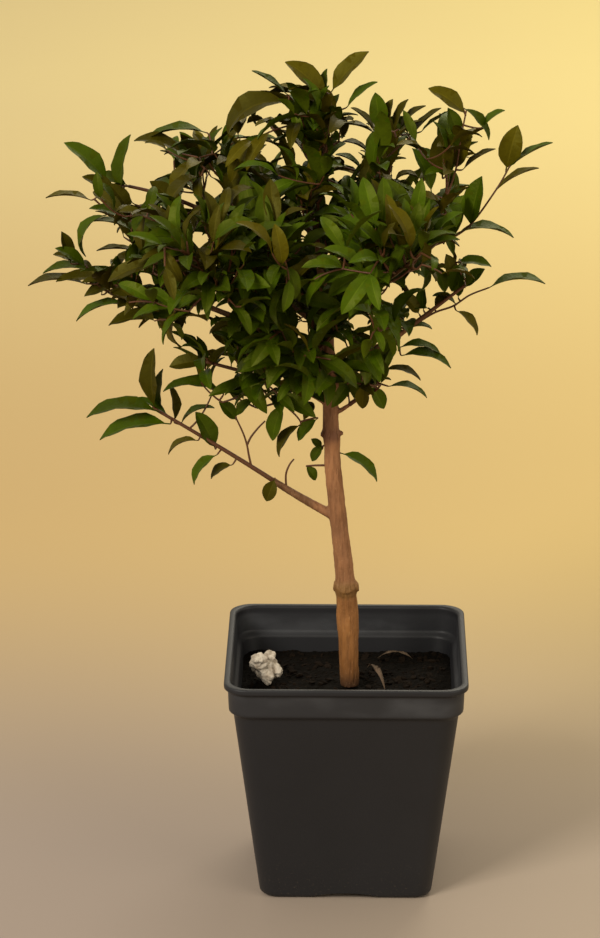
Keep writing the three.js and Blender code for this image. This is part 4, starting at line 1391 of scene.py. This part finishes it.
bark_piece = new_object("trunk_and_boughs", bark_mesh, bark)
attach(bark_piece, "root")
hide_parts("trunk", *[name + "_bough" for name in limbs if name != "trunk"])

# %% [markdown]
# The twigs are thin, so their forks hardly show, and one curve of tapering bars is enough. Turning it into
# a mesh gives a single joined piece. Young wood is greener and redder than the trunk, and smoother.

# %% Twigs
TWIG_RESOLUTION = 1
TWIG_BUMP = 0.0002
RED_WOOD = shade(96, 46, 22)
GREEN_WOOD = shade(78, 56, 24)


def twig_bar(twig):
    count = len(twig.route.points)
    return twig.route.points, np.linspace(twig.radius[0], twig.radius[1], count)


twig_mesh = wood_curve("twig_bars", [twig_bar(twig) for twig in twigs], TWIG_RESOLUTION)
twig_mesh.shade_smooth()
young_wood = Finish("young_wood", {"Roughness": 0.55, "Specular IOR Level": 0.4})
ripening = young_wood.mottle(60, 3)
young_wood.colour(young_wood.blend(ripening, RED_WOOD, GREEN_WOOD))
young_wood.bump(young_wood.mottle(1400, 2), TWIG_BUMP)
foliage_nodes = [name + "_foliage" for name, *_ in MASSES] + ["right_sprout", "left_sprout"]
twig_piece = new_object("twigs", twig_mesh, young_wood)
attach(twig_piece, "root")
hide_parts(*foliage_nodes)
print("twigs:", len(twig_mesh.polygons), "faces")

# %% [markdown]
# Every leaf is laid out on the same small net: twelve stations down its length and three strips across,
# with the rib as a strip of its own and a closed underside. The net is bent round the leaf's own arc,
# folded along the rib and waved a little at the edge, and then joined with the others of its tint.

# %% Leaf net
LEAF_STEPS = np.array([0, 0.07, 0.12, 0.2, 0.31, 0.44, 0.57, 0.69, 0.8, 0.89, 0.95, 1.0])
LEAF_OUTLINE = np.array([0.07, 0.07, 0.28, 0.6, 0.86, 1.0, 0.98, 0.87, 0.68, 0.44, 0.23, 0.04])
RIB_EDGE = 0.07
STRIPS = np.array([-1, -RIB_EDGE, RIB_EDGE, 1])
LEAF_FOLD = 0.38
RIB_SINK = 0.012
LEAF_WAVE = 0.018
WAVE_TURNS = 14
WAVE_SHIFT = 40
LEAF_THICKNESS = 0.32
BLADE, RIB, UNDERSIDE = range(3)


def leaf_faces():
    """Faces of the net, row by row, and what each belongs to."""
    rows, across = len(LEAF_STEPS), len(STRIPS) + 1
    faces, kinds = [], []
    for row in range(rows - 1):
        near, far = row * across, (row + 1) * across
        for strip in range(len(STRIPS) - 1):
            faces.append([near + strip, near + strip + 1, far + strip + 1, far + strip])
            kinds.append(RIB if strip == len(STRIPS) // 2 - 1 else BLADE)
        back = across - 1
        faces.append([near + back - 1, near + back, far + back, far + back - 1])
        faces.append([near + back, near, far, far + back])
        kinds += [UNDERSIDE, UNDERSIDE]
    last = (rows - 1) * across
    faces.append(list(range(across - 1, -1, -1)))
    faces.append(list(range(last, last + across)))
    return faces, kinds + [UNDERSIDE, UNDERSIDE]


def leaf_points(leaf):
    rib, face = leaf_rib(leaf, LEAF_STEPS)
    side = np.cross(leaf.heading, leaf.face)
    half = LEAF_OUTLINE * leaf.width / 2
    wave = np.sin(LEAF_STEPS * WAVE_TURNS + leaf.length * WAVE_SHIFT) * LEAF_WAVE * leaf.length
    columns = []
    for strip in STRIPS:
        lift = half * abs(strip) * LEAF_FOLD + wave * strip ** 3 * LEAF_OUTLINE
        lift = lift - RIB_SINK * half * (abs(strip) <= RIB_EDGE)
        columns.append(rib + side * (half * strip)[:, None] + face * lift[:, None])
    columns.append(rib - face * LEAF_THICKNESS)
    return np.stack(columns, axis=1).reshape(-1, 3)


net_faces, net_kinds = leaf_faces()
print("a leaf has", len(net_faces), "faces")

# %% [markdown]
# The leaves are glossy and dark, and the young ones near the outline are olive or bronze.
# A pattern laid over the whole crown would run across the leaves, so each spray is dealt one plain tint,
# and only a fine grain and the gloss change within a leaf. The rib is paler and the underside duller.

# %% Leaf finishes and pieces
LEAF_TINTS = [
    ("dark", (58, 74, 2), (70, 84, 8), (66, 76, 6)),
    ("green", (66, 86, 3), (80, 98, 10), (74, 86, 8)),
    ("olive", (62, 56, 3), (76, 68, 9), (66, 58, 7)),
    ("bright", (68, 91, 4), (84, 107, 12), (78, 94, 10)),
    ("bronze", (84, 75, 4), (97, 87, 11), (84, 74, 8)),
]
LEAF_SIDES = [("blade", 0.4, 0.24), ("rib", 0.48, 0.24), ("under", 0.68, 0.1)]
GLOSS_TINT = (1.0, 0.92, 0.22, 1.0)
GRAIN_DEPTH = 0.72
GRAIN_GLOSS = 0.16
LEAF_BUMP = 0.0002
LEAF_CREASE = 65


def leaf_finish(name, colour, gloss, shine):
    made = Finish(name, {"Specular IOR Level": shine, "Specular Tint": GLOSS_TINT})
    grain = made.mottle(260, 3)
    deeper = [channel * GRAIN_DEPTH for channel in colour]
    made.colour(made.blend(grain, shade(*deeper), shade(*colour)))
    made.roughness(gloss + grain * GRAIN_GLOSS)
    made.bump(made.mottle(700, 3), LEAF_BUMP)
    return made


def leaf_piece(name, members, colours):
    joined = Joined()
    for leaf in members:
        joined.add(leaf_points(leaf), net_faces, net_kinds)
    mesh = joined.mesh(name)
    mesh.set_sharp_from_angle(angle=math.radians(LEAF_CREASE))
    finishes = [
        leaf_finish(name + "_" + side, colour, gloss, shine)
        for (side, gloss, shine), colour in zip(LEAF_SIDES, colours)
    ]
    piece = new_object(name, mesh, *finishes)
    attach(piece, "root")
    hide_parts(*foliage_nodes)
    return piece


for tint, *colours in LEAF_TINTS:
    members = [leaf for leaf in leaves if leaf.tint == tint]
    piece = leaf_piece("leaves_" + tint, members, colours)
    print(piece.name, len(members), "leaves", len(piece.data.polygons), "faces")

# %% [markdown]
# Two curled brown leaves have dropped onto the mix inside the pot. They are the same net as a living leaf,
# rolled up much further and narrower, with a dry, dull finish.

# %% Dropped leaves
DROPPED = [((15, 37), (32, 34), 1.5, 2.4), ((9.8, 22), (18.4, -5), 1.5, 2.8)]
DROPPED_LIFT = 0.4
DRY_BUMP = 0.0004
DARK_DRY = shade(70, 54, 40)
PALE_DRY = shade(116, 96, 76)

dropped = []
for start, finish, curl, width in DROPPED:
    root, end = (np.array((x, y, soil_height(x, y) + DROPPED_LIFT)) for x, y in (start, finish))
    length = arc_length(np.linalg.norm(end - root), curl)
    dropped.append(Leaf(root, unit(end - root), UP, length, width, curl, curl / 2, "dry"))
joined = Joined()
for leaf in dropped:
    joined.add(leaf_points(leaf), net_faces)
dry = Finish("dry_leaf", {"Roughness": 0.85, "Specular IOR Level": 0.25})
dry.colour(dry.blend(dry.mottle(240, 4), DARK_DRY, PALE_DRY))
dry.bump(dry.mottle(700, 4), DRY_BUMP)
dropped_piece = new_object("dropped_leaves", joined.mesh("dropped_leaves"), dry)
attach(dropped_piece, "root")
print("dropped leaves:", len(dropped))
